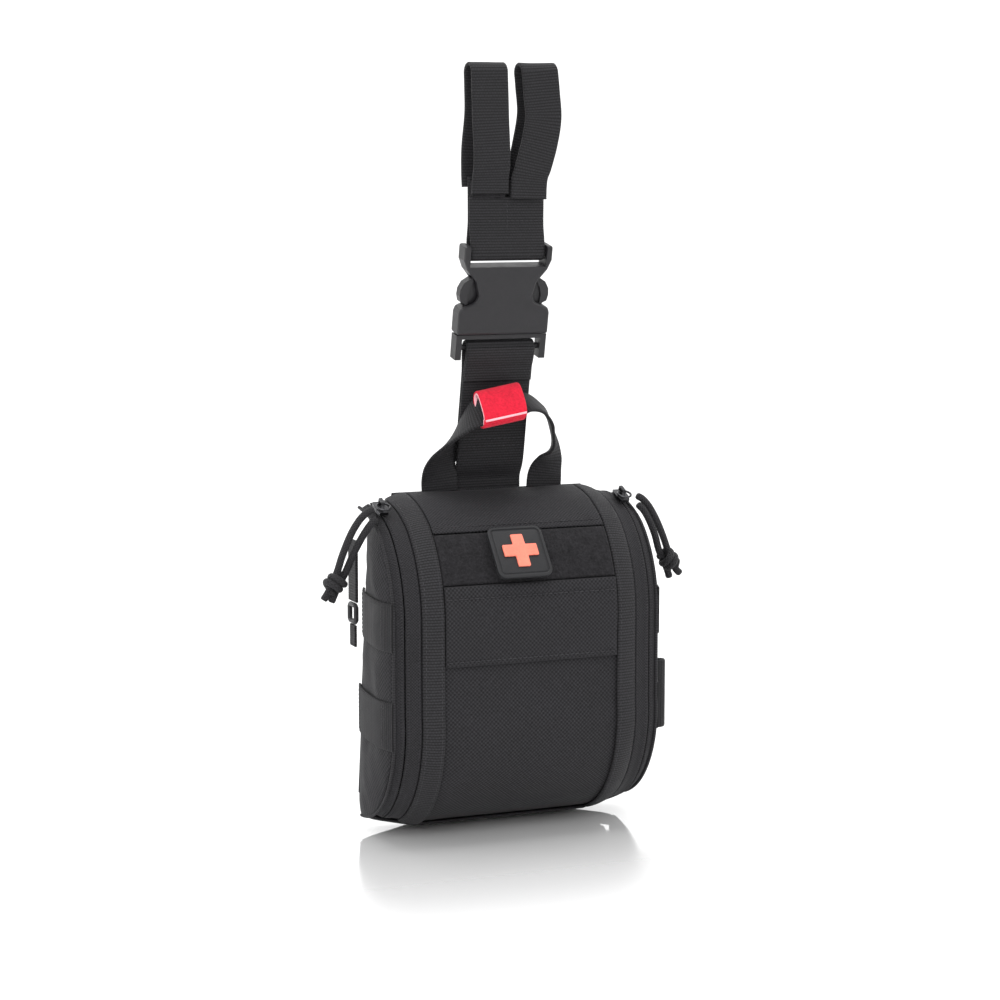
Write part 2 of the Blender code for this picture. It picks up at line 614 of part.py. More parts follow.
def build_zip_pull(name, side):
    x = side * ZIP_HALF
    slider_home, ring_home, cord_home = f"slider_{name}", f"ring_{name}", f"cord_{name}"
    home(slider_home, (0.0, POUCH_BACK, TOP_ARC_Z), "cover")
    eye, outward, forward = arc_frame(SLIDER_ANGLE, 0.9)
    eye.x = x
    home(ring_home, eye, slider_home)
    far = eye + forward * 7.0
    home(cord_home, far, ring_home)
    plate = []
    for angle, half in ((SLIDER_ANGLE - 5.4, 2.6), (SLIDER_ANGLE - 2.0, 3.4), (SLIDER_ANGLE + 2.4, 3.4),
                        (SLIDER_ANGLE + 5.4, 2.4)):
        top, __, __ = arc_frame(angle, 2.8)
        foot, __, __ = arc_frame(angle, 4.6)
        plate.append([(x - half, top.y, top.z), (x + half, top.y, top.z),
                      (x + half, foot.y, foot.z), (x - half, foot.y, foot.z)])
    slider = add(f"zip_slider_{name}", loft(plate), slider_home, "metal")
    base, __, __ = arc_frame(SLIDER_ANGLE, 3.2)
    crown = []
    for across in (-0.9, 0.9):
        corners = ((-3.0, 0.0), (3.0, 0.0), (2.4, 4.2), (-2.4, 4.2))
        crown.append([base + Vector((x + across, 0, 0)) + forward * f + outward * n for f, n in corners])
    cut(slider, loft(crown), slider_home, "UNION")
    window = []
    for across in (-2.0, 2.0):
        corners = ((-1.5, 1.1), (1.5, 1.1), (1.5, 3.4), (-1.5, 3.4))
        window.append([base + Vector((x + across, 0, 0)) + forward * f + outward * n for f, n in corners])
    cut(slider, loft(window), slider_home)
    ring = ring_solid(eye + forward * 3.5, outward, forward, 3.5, 0.6)
    add(f"zip_ring_{name}", ring, ring_home, "metal", 60)
    for letter, route in zip("ab", PULL_ROUTES[name]):
        path = [Vector((p[0], far.y + p[1], far.z + p[2])) for p in route]
        tube(f"pull_cord_{name}_{letter}", path, cord_home)
    place = KNOTS[name] + Vector((0.0, far.y, far.z))
    knot = add(f"pull_knot_{name}", ball(place, KNOT_REACH * 0.86), cord_home, "paracord", 60)
    for route in TAILS[name]:
        points = [Vector((p[0], far.y + p[1], far.z + p[2])) for p in route]
        cut(knot, round_bar([place] + points, CORD_RADIUS), cord_home, "UNION")


# ---------------------------------------------------------------- carrying handle
GRIP_MIDDLE = Vector((0.0, 20.2, 212.2))
HANDLE_HALF = (((32.0, 44.4, 169.0), 0.0), ((32.4, 44.2, 172.0), 0.0), ((34.0, 41.6, 182.0), 14.0),
               ((31.4, 36.4, 193.0), 38.0), ((24.6, 28.6, 203.6), 66.0), ((16.4, 21.6, 210.6), 84.0),
               ((8.0, 20.2, 212.2), 90.0))


def handle_sections():
    """Centre and width direction along the handle, from the left foot to the right foot."""
    lean = Vector((0.0, -0.60, -0.80))
    left = [(Vector((-x, y, z)), -twist) for (x, y, z), twist in HANDLE_HALF]
    right = [(Vector((x, y, z)), twist) for (x, y, z), twist in reversed(HANDLE_HALF)]
    stops = left + [(GRIP_MIDDLE, None)] + right
    sections = []
    for point, twist in stops:
        if twist is None:
            sections.append((point, lean))
            continue
        turn = math.radians(abs(twist))
        across = Vector((math.copysign(1.0, point.x), 0.0, 0.0))
        sections.append((point, (across * math.cos(turn) + lean * math.sin(turn)).normalized()))
    return sections


def build_handle():
    sections = handle_sections()
    points = [p for p, __ in sections]
    rings = []
    steps = 3
    fine = spline(points, steps)
    for i, point in enumerate(fine):
        at, rest = divmod(i, steps)
        a = sections[at][1]
        b = sections[min(at + 1, len(sections) - 1)][1]
        if at < len(sections) - 1 and a.dot(b) < 0:
            b = -b
        width = a.lerp(b, rest / steps)
        run = fine[min(i + 1, len(fine) - 1)] - fine[max(i - 1, 0)]
        width = (width - run * width.dot(run) / run.length_squared).normalized()
        if rings and width.dot(previous) < 0:
            width = -width
        previous = width
        thick = run.cross(width).normalized() * 0.9
        half = width * HANDLE_WIDTH / 2
        rings.append([point + half + thick, point + half - thick,
                      point - half - thick, point - half + thick])
    add("handle_webbing", loft(rings), "handle", "webbing", 40)
    build_grip()


def build_grip():
    """A hook-and-loop sleeve, wider than the webbing, closed round the middle of the handle."""
    down = Vector((0.0, -0.60, -0.80))
    face = Vector((0.0, -0.80, 0.60))
    bm = bmesh.new()
    loops = []
    for x in (-GRIP_HALF_LENGTH, GRIP_HALF_LENGTH):
        for wide, thick in ((GRIP_WIDTH / 2, 3.8), (GRIP_WIDTH / 2 - 1.2, 2.6)):
            row = []
            for i in range(20):
                turn = math.tau * i / 20
                u = math.copysign(abs(math.cos(turn)) ** 0.6, math.cos(turn)) * wide
                v = math.copysign(abs(math.sin(turn)) ** 0.6, math.sin(turn)) * thick
                row.append(bm.verts.new(GRIP_MIDDLE + Vector((x, 0, 0)) + down * u + face * v))
            loops.append(row)
    left_out, left_in, right_out, right_in = loops
    for a, b in ((left_out, right_out), (left_in, right_in), (left_out, left_in), (right_out, right_in)):
        for i in range(20):
            j = (i + 1) % 20
            bm.faces.new((a[i], a[j], b[j], b[i]))
    add("handle_grip", bm, "handle", "red_grip", 40)


# ---------------------------------------------------------------- assembly
def make_homes():
    home("hanger", BELT_CENTRE)
    home("buckle", BUCKLE_BAR, tilt=STRAP_TILT)
    home("plug", (0.0, 0.0, 0.0), "buckle")
    home("pouch", (0.0, *to_pouch(0.0, MALE_BAR_Z)))
    home("cover", (0.0, HINGE_Y, HINGE_Z), "pouch")
    patch_point, __, __ = arc_frame(PATCH_ANGLE, 0.0)
    home("patch", patch_point, "cover")
    home("handle", (0.0, 44.4, 169.6), "pouch")
    home("thigh_loop_axis", (62.0, POUCH_BACK + 0.4, 46.0), "pouch")
    home("tab_axis", (-SIDE_HALF, POUCH_BACK, TAB_TOP), "pouch")


def main():
    clear_scene()
    make_materials()
    make_homes()
    build_hanger()
    build_socket()
    build_plug()
    build_latches()
    build_drop_strap()
    build_body()
    build_cover()
    build_patch()
    for name, side in SIDES:
        build_zip_pull(name, side)
    build_handle()


main()
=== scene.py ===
"""Looks for the drop leg first aid pouch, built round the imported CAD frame.

Shapes are worked out in millimetres in the pouch system (X right, Y back, Z up, Y = 0 near the
front) and moved to the frame's metres when a mesh is made. Fabric pieces carry a UV map in
millimetres of cloth, which the weaves, ribs and knits are drawn from.
"""

import math

import bmesh
import bpy
import numpy as np
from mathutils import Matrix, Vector, noise

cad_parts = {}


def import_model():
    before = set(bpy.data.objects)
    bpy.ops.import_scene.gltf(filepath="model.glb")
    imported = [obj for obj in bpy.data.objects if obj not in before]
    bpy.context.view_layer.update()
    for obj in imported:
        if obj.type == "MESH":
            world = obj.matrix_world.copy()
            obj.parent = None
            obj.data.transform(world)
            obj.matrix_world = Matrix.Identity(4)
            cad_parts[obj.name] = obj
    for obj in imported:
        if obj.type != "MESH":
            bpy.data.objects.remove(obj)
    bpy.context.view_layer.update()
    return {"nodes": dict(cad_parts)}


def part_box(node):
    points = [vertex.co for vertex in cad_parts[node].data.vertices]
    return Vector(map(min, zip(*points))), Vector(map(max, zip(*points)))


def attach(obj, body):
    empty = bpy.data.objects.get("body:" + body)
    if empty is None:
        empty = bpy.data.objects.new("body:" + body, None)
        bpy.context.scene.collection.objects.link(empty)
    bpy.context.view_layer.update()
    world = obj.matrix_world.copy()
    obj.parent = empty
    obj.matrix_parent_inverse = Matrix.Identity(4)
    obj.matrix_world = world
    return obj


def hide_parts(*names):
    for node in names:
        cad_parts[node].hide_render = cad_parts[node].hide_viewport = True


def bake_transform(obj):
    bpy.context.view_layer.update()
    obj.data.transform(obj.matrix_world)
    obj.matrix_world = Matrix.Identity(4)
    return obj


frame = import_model()

# ---------------------------------------------------------------- dimensions of the frame, mm
MM = 0.001
POUCH_BACK = 46.0
POUCH_DEPTH = 64.0
TOP_ARC_Z = 105.0
BASE_ARC_Z = 54.0
FACE_HALF = 48.0
BAND_HALF = 59.2
ZIP_HALF = 68.0
SEAM_HALF = 73.2
TAB_X = -73.3
SLOPE_X = (0.0, FACE_HALF, 60.0, ZIP_HALF, SEAM_HALF, 90.0)
SLOPE_DEPTH = (0.0, 0.0, 3.0, 5.0, 7.2, 20.0)
HINGE_Y, HINGE_Z = 36.0, -9.0
BELT_SLOT = 8.0
BELT_TOP = 385.5
LOOP_WIDTH = 20.0
LOOP_PLY = 1.6
LOOP_SPACE = 1.2
BAR_RADIUS = 1.6
BUCKLE_BAR = (0.0, 20.0, 291.0)
STRAP_TILT = math.radians(12.0)
MALE_BAR_Z = -50.0
STRAP_HALF = 19.0
STRAP_PLY = 1.8
HANDLE_WIDTH = 20.0
PALS_CENTRES = (104.0, 53.0)
PALS_HALF = 12.5
PATCH_ANGLE = 58.0
PATCH_X = -3.0
PATCH_HALF = 15.0
SLIDER_ANGLE = 22.0
ZIP_START, ZIP_END = 0.05, 2.74
CORD_RADIUS = 1.9
SIDES = (("left", -1.0), ("right", 1.0))

# The pouch system's origin in the frame comes from the back panel's own box.
BACK_PANEL_TOP = 167.6
back_low, back_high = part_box("back_panel")
ORIGIN = np.array((0.0, back_high[1] / MM - POUCH_BACK, back_high[2] / MM - BACK_PANEL_TOP))


def world(points):
    return (np.asarray(points, float) + ORIGIN) * MM


# ---------------------------------------------------------------- procedural materials
class Graph:
    """Short calls for building one material's node tree."""

    def __init__(self, name, colour, roughness, metallic=0.0, sheen=0.0, sheen_roughness=0.5, specular=0.5):
        self.mat = bpy.data.materials.new(name)
        self.mat.use_nodes = True
        self.nodes = self.mat.node_tree.nodes
        self.links = self.mat.node_tree.links
        self.shader = self.nodes["Principled BSDF"]
        self.set("Base Color", (*colour, 1.0))
        self.set("Roughness", roughness)
        self.set("Metallic", metallic)
        self.set("Sheen Weight", sheen)
        self.set("Sheen Roughness", sheen_roughness)
        self.set("Specular IOR Level", specular)
        coords = self.nodes.new("ShaderNodeTexCoord")
        self.place = coords.outputs["Object"]
        split = self.nodes.new("ShaderNodeSeparateXYZ")
        self.links.new(coords.outputs["UV"], split.inputs[0])
        self.u, self.v = split.outputs[0], split.outputs[1]

    def set(self, socket, value):
        self.shader.inputs[socket].default_value = value

    def math(self, operation, *values):
        node = self.nodes.new("ShaderNodeMath")
        node.operation = operation
        for socket, value in zip(node.inputs, values):
            if isinstance(value, (int, float)):
                socket.default_value = value
            else:
                self.links.new(value, socket)
        return node.outputs[0]

    def wave(self, value, period, shift=0.0):
        return self.math("SINE", self.math("MULTIPLY_ADD", value, math.tau / period, shift))

    def noise(self, scale, detail=2.0, roughness=0.5):
        node = self.nodes.new("ShaderNodeTexNoise")
        node.inputs["Scale"].default_value = scale
        node.inputs["Detail"].default_value = detail
        node.inputs["Roughness"].default_value = roughness
        self.links.new(self.place, node.inputs["Vector"])
        return node.outputs["Fac"]

    def colour(self, factor, low, high, at=(0.0, 1.0)):
        ramp = self.nodes.new("ShaderNodeValToRGB")
        ramp.color_ramp.elements[0].position, ramp.color_ramp.elements[1].position = at
        ramp.color_ramp.elements[0].color = (*low, 1.0)
        ramp.color_ramp.elements[1].color = (*high, 1.0)
        self.links.new(factor, ramp.inputs[0])
        self.links.new(ramp.outputs[0], self.shader.inputs["Base Color"])

    def roughness(self, factor, low, high):
        spread = self.math("MULTIPLY_ADD", factor, high - low, low)
        self.links.new(spread, self.shader.inputs["Roughness"])

    def bump(self, height, depth_mm, strength=1.0):
        node = self.nodes.new("ShaderNodeBump")
        node.inputs["Distance"].default_value = depth_mm * MM
        node.inputs["Strength"].default_value = strength
        self.links.new(height, node.inputs["Height"])
        previous = self.shader.inputs["Normal"].links
        if previous:
            self.links.new(previous[0].from_socket, node.inputs["Normal"])
        self.links.new(node.outputs[0], self.shader.inputs["Normal"])


materials = {}


def keep(key, graph):
    materials[key] = graph.mat


def scaled(colour, factor):
    return tuple(min(1.0, c * factor) for c in colour)


def plain_weave(key, colour, period, depth):
    """Woven nylon: over-and-under threads, lint and a slow change of tone."""
    g = Graph(key, colour, 0.75, sheen=0.03, specular=0.2)
    threads = g.math("MULTIPLY", g.wave(g.u, period), g.wave(g.v, period))
    height = g.math("MULTIPLY_ADD", threads, 0.5, g.math("MULTIPLY", g.wave(g.u, period * 0.19), 0.06))
    slow, lint = g.noise(35.0, 3.0), g.noise(1300.0, 1.0)
    tone = g.math("MULTIPLY_ADD", slow, 0.35, g.math("MULTIPLY_ADD", lint, 0.7, -0.02))
    tone = g.math("MULTIPLY_ADD", threads, 0.38, tone)
    g.colour(tone, scaled(colour, 0.22), scaled(colour, 2.0), (0.1, 0.95))
    g.roughness(slow, 0.62, 0.9)
    g.bump(g.math("ADD", height, g.math("MULTIPLY", lint, 0.25)), depth)
    keep(key, g)


def ribbed(key, colour, pitch, depth):
    """Webbing and grosgrain: ribs across the tape, each made of short warp threads."""
    g = Graph(key, colour, 0.6, sheen=0.03, specular=0.22)
    rib = g.math("ABSOLUTE", g.math("SINE", g.math("MULTIPLY", g.v, math.pi / pitch)))
    shift = g.math("MULTIPLY", g.math("FLOOR", g.math("DIVIDE", g.v, pitch)), math.pi)
    warp = g.math("SINE", g.math("ADD", g.math("MULTIPLY", g.u, math.tau / 1.5), shift))
    height = g.math("MULTIPLY_ADD", warp, 0.22, rib)
    slow, lint = g.noise(45.0, 3.0), g.noise(1300.0, 1.0)
    tone = g.math("MULTIPLY_ADD", slow, 0.3, g.math("MULTIPLY_ADD", lint, 0.6, -0.48))
    tone = g.math("MULTIPLY_ADD", rib, 0.75, g.math("MULTIPLY_ADD", warp, 0.12, tone))
    g.colour(tone, scaled(colour, 0.18), scaled(colour, 1.9), (0.05, 0.95))
    g.roughness(slow, 0.55, 0.82)
    g.bump(height, depth)
    keep(key, g)


def fuzzy(key, colour, contrast=1.7, grain=900.0):
    """Hook-and-loop pile and brushed knit."""
    g = Graph(key, colour, 0.95, sheen=0.06, sheen_roughness=0.6, specular=0.08)
    pile, clump = g.noise(grain, 3.0, 0.7), g.noise(grain * 0.25, 2.0)
    tone = g.math("MULTIPLY_ADD", pile, 1.1, g.math("MULTIPLY_ADD", clump, 0.5, -0.3))
    g.colour(tone, scaled(colour, 1.0 / contrast), scaled(colour, contrast), (0.2, 0.85))
    g.roughness(pile, 0.85, 1.0)
    g.bump(g.math("ADD", pile, clump), 0.35)
    keep(key, g)


def moulded(key, colour, roughness, grain=1600.0, depth=0.03, metallic=0.0, wear=0.12):
    """Moulded plastic, rubber or plated metal with a fine tool grain and slight scuffs."""
    g = Graph(key, colour, roughness, metallic=metallic, specular=0.3)
    fine, scuff = g.noise(grain, 2.0), g.noise(130.0, 4.0, 0.65)
    tone = g.math("MULTIPLY_ADD", fine, 0.4, g.math("MULTIPLY", scuff, 0.6))
    g.colour(tone, scaled(colour, 0.85), scaled(colour, 1.18), (0.3, 0.7))
    g.roughness(scuff, roughness - wear, roughness + wear)
    g.bump(fine, depth)
    keep(key, g)


def braided(key, colour):
    """A braided cord sheath: two crossing spirals of flat strands."""
    g = Graph(key, colour, 0.7, sheen=0.04, specular=0.25)
    lean = g.math("MULTIPLY", g.u, 1.0)
    one = g.wave(g.math("ADD", g.v, lean), 1.7)
    two = g.wave(g.math("SUBTRACT", g.v, lean), 1.7)
    height = g.math("MAXIMUM", one, two)
    lint = g.noise(1500.0, 1.0)
    tone = g.math("MULTIPLY_ADD", height, 0.35, g.math("MULTIPLY_ADD", lint, 0.35, 0.3))
    g.colour(tone, scaled(colour, 0.55), scaled(colour, 1.7), (0.15, 0.95))
    g.bump(height, 0.18)
    keep(key, g)


def make_materials():
    nylon = (0.0135, 0.0130, 0.0147)
    plain_weave("cordura", nylon, 2.2, 0.16)
    plain_weave("cordura_fine", scaled(nylon, 1.1), 1.9, 0.10)
    plain_weave("lining", (0.040, 0.040, 0.046), 1.0, 0.08)
    ribbed("webbing", scaled(nylon, 0.85), 1.45, 0.10)
    ribbed("grosgrain", scaled(nylon, 1.1), 1.5, 0.10)
    ribbed("piping", scaled(nylon, 1.1), 1.3, 0.05)
    plain_weave("zip_tape", scaled(nylon, 1.0), 1.6, 0.07)
    fuzzy("hook_loop", (0.0105, 0.0100, 0.0112), 2.2)
    fuzzy("red_grip", (0.58, 0.014, 0.036), 1.25, 700.0)
    fuzzy("red_lining", (0.82, 0.42, 0.46), 1.12, 900.0)
    moulded("hem_thread", (0.86, 0.40, 0.45), 0.6, depth=0.05)
    moulded("thread", scaled(nylon, 1.7), 0.55, depth=0.05)
    moulded("coil_nylon", scaled(nylon, 0.9), 0.35)
    moulded("buckle_plastic", (0.0140, 0.0134, 0.0152), 0.4)
    moulded("metal", (0.060, 0.060, 0.064), 0.32, metallic=1.0, depth=0.01)
    moulded("pvc_dark", (0.0130, 0.0132, 0.0148), 0.5, depth=0.05)
    moulded("pvc_salmon", (0.82, 0.20, 0.135), 0.45, depth=0.05)
    braided("paracord", scaled(nylon, 0.85))
    moulded("stiffener", (0.30, 0.30, 0.31), 0.5)


# ---------------------------------------------------------------- mesh helpers
def spaced(low, high, step, rim=0.5):
    """Even stops from low to high, with one extra stop close to each end for a rounded rim."""
    count = max(2, int(round((high - low - 2 * rim) / step)) + 1)
    return np.concatenate([[low], np.linspace(low + rim, high - rim, count), [high]])


def unit(vectors):
    return vectors / np.maximum(np.linalg.norm(vectors, axis=-1, keepdims=True), 1e-9)


def ruffle(points, size, amount, seed):
    """A smooth random height at each point of a grid."""
    flat = points.reshape(-1, 3) / size + seed
    return amount * np.array([noise.noise(Vector(p)) for p in flat]).reshape(points.shape[:-1])


def resample(points, step):
    """Catmull-Rom through the points, then even steps along it. Returns positions and run length."""
    points = np.asarray(points, float)
    ends = np.vstack([2 * points[0] - points[1], points, 2 * points[-1] - points[-2]])
    fine = []
    for a, b, c, d in zip(ends, ends[1:], ends[2:], ends[3:]):
        for t in np.linspace(0.0, 1.0, 12, endpoint=False):
            fine.append(0.5 * (2 * b + (c - a) * t + (2 * a - 5 * b + 4 * c - d) * t ** 2
                               + (3 * b - a - 3 * c + d) * t ** 3))
    fine = np.array(fine + [points[-1]])
    run = np.concatenate([[0.0], np.cumsum(np.linalg.norm(np.diff(fine[:, :3], axis=0), axis=1))])
    stops = np.linspace(0.0, run[-1], max(2, int(round(run[-1] / step)) + 1))
    return np.stack([np.interp(stops, run, fine[:, k]) for k in range(fine.shape[1])], 1), stops


def make(name, verts, faces, uv, material, body=None, replaces=(), smooth_angle=None):
    """A named piece from vertices in mm, faces and one UV pair for each vertex."""
    mesh = bpy.data.meshes.new(name)
    mesh.from_pydata(world(verts).tolist(), [], faces)
    layer = mesh.uv_layers.new(name="cloth")
    corner = np.empty(len(mesh.loops), np.int32)
    mesh.loops.foreach_get("vertex_index", corner)
    layer.data.foreach_set("uv", np.asarray(uv, np.float32)[corner].ravel())
    bm = bmesh.new()
    bm.from_mesh(mesh)
    bmesh.ops.recalc_face_normals(bm, faces=bm.faces)
    bm.to_mesh(mesh)
    bm.free()
    mesh.shade_smooth()
    if smooth_angle:
        mesh.set_sharp_from_angle(angle=math.radians(smooth_angle))
    mesh.materials.append(materials[material])
    obj = bpy.data.objects.new(name, mesh)
    bpy.context.scene.collection.objects.link(obj)
    if body:
        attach(obj, body)
    if replaces:
        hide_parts(*replaces)
    return obj


def slab(name, middle, thick, uv, material, outward, rim=0.45, **more):
    """A sheet with rounded rims round a grid of points; outward is a point on its inner side."""
    rows, cols = middle.shape[:2]
    normal = unit(np.cross(np.gradient(middle, axis=1), np.gradient(middle, axis=0)))
    if np.sum(normal * (middle - np.asarray(outward))) < 0:
        normal = -normal
    swell = np.ones((rows, cols))
    swell[[0, -1], :] = rim
    swell[:, [0, -1]] = rim
    half = normal * (np.broadcast_to(thick, (rows, cols)) * swell / 2)[..., None]
    verts = np.concatenate([(middle + half).reshape(-1, 3), (middle - half).reshape(-1, 3)])
    index = np.arange(rows * cols).reshape(rows, cols)
    low = index + rows * cols
    quads = [np.stack([g[:-1, :-1], g[:-1, 1:], g[1:, 1:], g[1:, :-1]], -1).reshape(-1, 4)
             for g in (index, low)]
    edge = np.concatenate([index[0, :], index[1:, -1], index[-1, -2::-1], index[-2:0:-1, 0]])
    turn = np.roll(edge, -1)
    quads.append(np.stack([edge, turn, turn + rows * cols, edge + rows * cols], -1))
    flat = np.concatenate([uv.reshape(-1, 2)] * 2)
    return make(name, verts, np.concatenate(quads).tolist(), flat, material, **more)


def tube_parts(path, radius, sides=10, closed=False, start=0):
    """Vertices, faces and UVs of a round tube along a path; radius may change along it."""
    path = np.asarray(path, float)
    count = len(path)
    radius = np.broadcast_to(radius, count)
    if closed:
        run = unit(np.roll(path, -1, 0) - np.roll(path, 1, 0))
    else:
        run = unit(np.gradient(path, axis=0))
    side = np.cross(run[0], (0.31, 0.52, 0.79))
    frames = []
    for direction in run:
        side = side - direction * np.dot(side, direction)
        side = side / np.linalg.norm(side)
        frames.append(side)
    frames = np.array(frames)
    other = np.cross(run, frames)
    if closed:
        drift = math.atan2(np.dot(frames[-1], other[0]), np.dot(frames[-1], frames[0]))
    else:
        drift = 0.0
    turns = math.tau * np.arange(sides) / sides
    share = (np.arange(count) / count)[:, None]
    angle = turns[None, :] - drift * share
    verts = (path[:, None, :] + radius[:, None, None]
             * (frames[:, None, :] * np.cos(angle)[..., None] + other[:, None, :] * np.sin(angle)[..., None]))
    length = np.concatenate([[0.0], np.cumsum(np.linalg.norm(np.diff(path, axis=0), axis=1))])
    uv = np.stack(np.broadcast_arrays(turns[None, :] * radius[:, None], length[:, None]), -1)
    index = start + np.arange(count * sides).reshape(count, sides)
    ahead = np.roll(index, -1, 1)
    faces = np.stack([index[:-1], ahead[:-1], ahead[1:], index[1:]], -1).reshape(-1, 4).tolist()
    if closed:
        faces += np.stack([index[-1], ahead[-1], ahead[0], index[0]], -1).tolist()
    else:
        faces += [index[0].tolist(), index[-1][::-1].tolist()]
    return verts.reshape(-1, 3), faces, uv.reshape(-1, 2)


def tube(name, path, radius, material, sides=10, closed=False, **more):
    verts, faces, uv = tube_parts(path, radius, sides, closed)
    return make(name, verts, faces, uv, material, **more)


def ribbon(name, centre, across, width, thick, material, outward,
           step=0.3, pitch=1.1, depth=0.16, ease=0.0, **more):
    """Webbing with real ribs and a scalloped selvedge. across is one vector, or one for each point."""
    centre = np.asarray(centre, float)
    across = np.broadcast_to(np.asarray(across, float), centre.shape)
    joined, run = resample(np.hstack([centre, across]), step)
    line, wide = joined[:, :3], joined[:, 3:6]
    along = unit(np.gradient(line, axis=0))
    wide = unit(wide - along * np.sum(wide * along, -1, keepdims=True))
    share = spaced(-1.0, 1.0, 0.16, 0.05)
    rib = np.abs(np.sin(np.pi * run / pitch))
    half = width / 2 - 0.12 + 0.12 * rib
    grid = line[:, None, :] + wide[:, None, :] * (share[None, :] * half[:, None])[..., None]
    if ease:
        grid = grid + (ruffle(grid, 14.0, ease, 3.7))[..., None] * np.cross(along, wide)[:, None, :]
    body = thick - depth + depth * rib
    flat = np.stack(np.broadcast_arrays(share[None, :] * width / 2, run[:, None]), -1)
    return slab(name, grid, body[:, None], flat, material, outward, rim=0.5, **more)


STITCH_RINGS = ((-0.5, 0.3, -0.22), (-0.36, 0.85, 0.0), (0.0, 1.0, 0.12),
                (0.36, 0.85, 0.0), (0.5, 0.3, -0.22))


def stitches(name, rows, pitch, length, size, material, body, sides=6, turned=False):
    """Rows of thread stitches. Each row is (points, outward directions)."""
    all_verts, all_faces, all_uv, start = [], [], [], 0
    for path, up in rows:
        path, up = np.asarray(path, float), np.broadcast_to(np.asarray(up, float), np.shape(path))
        run = np.concatenate([[0.0], np.cumsum(np.linalg.norm(np.diff(path, axis=0), axis=1))])
        for at in np.arange(pitch * 0.5, run[-1] - pitch * 0.4, pitch):
            spot = np.array([np.interp(at, run, path[:, k]) for k in range(3)])
            ahead = np.array([np.interp(at + 0.4, run, path[:, k]) for k in range(3)])
            lift = unit(np.array([np.interp(at, run, up[:, k]) for k in range(3)]))
            along = unit(ahead - spot)
            aside = np.cross(along, lift)
            if turned:
                along, aside = aside, along
            for where, swell, rise in STITCH_RINGS:
                middle = spot + along * where * length + lift * (rise * size * 2)
                for k in range(sides):
                    turn = math.tau * k / sides
                    all_verts.append(middle + size * swell * (aside * math.cos(turn) + lift * math.sin(turn)))
                    all_uv.append((turn, where))
            count = len(STITCH_RINGS)
            for ring in range(count - 1):
                for k in range(sides):
                    a, b = start + ring * sides + k, start + ring * sides + (k + 1) % sides
                    all_faces.append((a, b, b + sides, a + sides))
            all_faces.append(tuple(range(start, start + sides)))
            all_faces.append(tuple(range(start + (count - 1) * sides, start + count * sides)))
            start += count * sides
    return make(name, all_verts, all_faces, all_uv, material, body=body)


# ---------------------------------------------------------------- the rounded front
ARC = POUCH_DEPTH * math.pi / 2
STRAIGHT = TOP_ARC_Z - BASE_ARC_Z
RUN_STOPS = (0.0, ARC, ARC + STRAIGHT, 2 * ARC + STRAIGHT)
CORE = (0.0, 40.0, 80.0)
BASE_SAG = 2.6                       # the filled base hangs a little below its frame
TOP_SAG = 2.2                        # and the top is pressed down near the rear seam


def run_at(along):
    return np.interp(along, (0.0, 1.0, 2.0, 3.0), RUN_STOPS)


def along_at(run):
    return np.interp(run, RUN_STOPS, (0.0, 1.0, 2.0, 3.0))


def front_points(x, along, depth):
    """Points on the rounded outline, a depth inside it. along runs 0 top rear to 3 base."""
    x, along, depth = np.broadcast_arrays(x, along, depth)
    radius = POUCH_DEPTH - np.interp(np.abs(x), SLOPE_X, SLOPE_DEPTH) - depth
    radius = radius + BASE_SAG * np.sin(np.clip((along - 1.9) / 0.9, 0.0, 1.0) * np.pi / 2)
    radius = radius - TOP_SAG * np.cos(np.clip(along / 0.45, 0.0, 1.0) * np.pi / 2)
    top = np.radians(90.0 * np.clip(along, 0.0, 1.0))
    foot = np.radians(90.0 * (3.0 - np.clip(along, 2.0, 3.0)))
    y = POUCH_BACK - radius * np.where(along < 2.0, np.sin(top), np.sin(foot))
    straight = TOP_ARC_Z - STRAIGHT * (np.clip(along, 1.0, 2.0) - 1.0)
    z = np.where(along < 2.0, straight + radius * np.cos(top), BASE_ARC_Z - radius * np.cos(foot))
    return np.stack([x, y, z], -1)


def front_slab(name, x_low, x_high, start, end, depth, thick, material, step=1.6, along_step=None,
               lift=None, rough=0.0, seed=0.0, rib=None, **more):
    """A fabric panel on the rounded front. lift(x, run) moves it outwards; rib is a rib pitch."""
    x = spaced(x_low, x_high, step)
    run = spaced(run_at(start), run_at(end), along_step or step)
    grid_x, grid_run = np.meshgrid(x, run)
    extra = np.zeros_like(grid_x)
    if lift is not None:
        extra = extra + lift(grid_x, grid_run)
    if rough:
        extra = extra + ruffle(front_points(grid_x, along_at(grid_run), 0.0), 16.0, rough, seed)
    plies = np.full_like(grid_x, thick)
    if rib:
        plies = plies - 0.14 + 0.14 * np.abs(np.sin(np.pi * grid_run / rib))
    middle = front_points(grid_x, along_at(grid_run), depth + thick / 2 - extra)
    uv = np.stack([grid_x, grid_run], -1)
    return slab(name, middle, plies, uv, material, CORE, **more)


def front_line(x, start, end, depth, step=1.0):
    """A line along the outline at one distance from the middle, and its outward directions."""
    run = np.arange(run_at(start), run_at(end), step)
    path = front_points(x, along_at(run), depth)
    inner = front_points(x, along_at(run), depth + 4.0)
    return path, unit(path - inner)


def cross_line(along, x_low, x_high, depth):
    x = np.linspace(x_low, x_high, 60)
    path = front_points(x, along, depth)
    return path, unit(path - front_points(x, along, depth + 4.0))


def along_height(z):
    return math.degrees(math.acos((z - TOP_ARC_Z) / POUCH_DEPTH)) / 90.0


SEAM = along_height(150.0)
LOOP_FOOT = along_height(125.0)
POCKET_FOOT = 1.43
COVER_FOOT = 3.0 - math.degrees(math.asin((POUCH_BACK - HINGE_Y + 0.9) / POUCH_DEPTH)) / 90.0


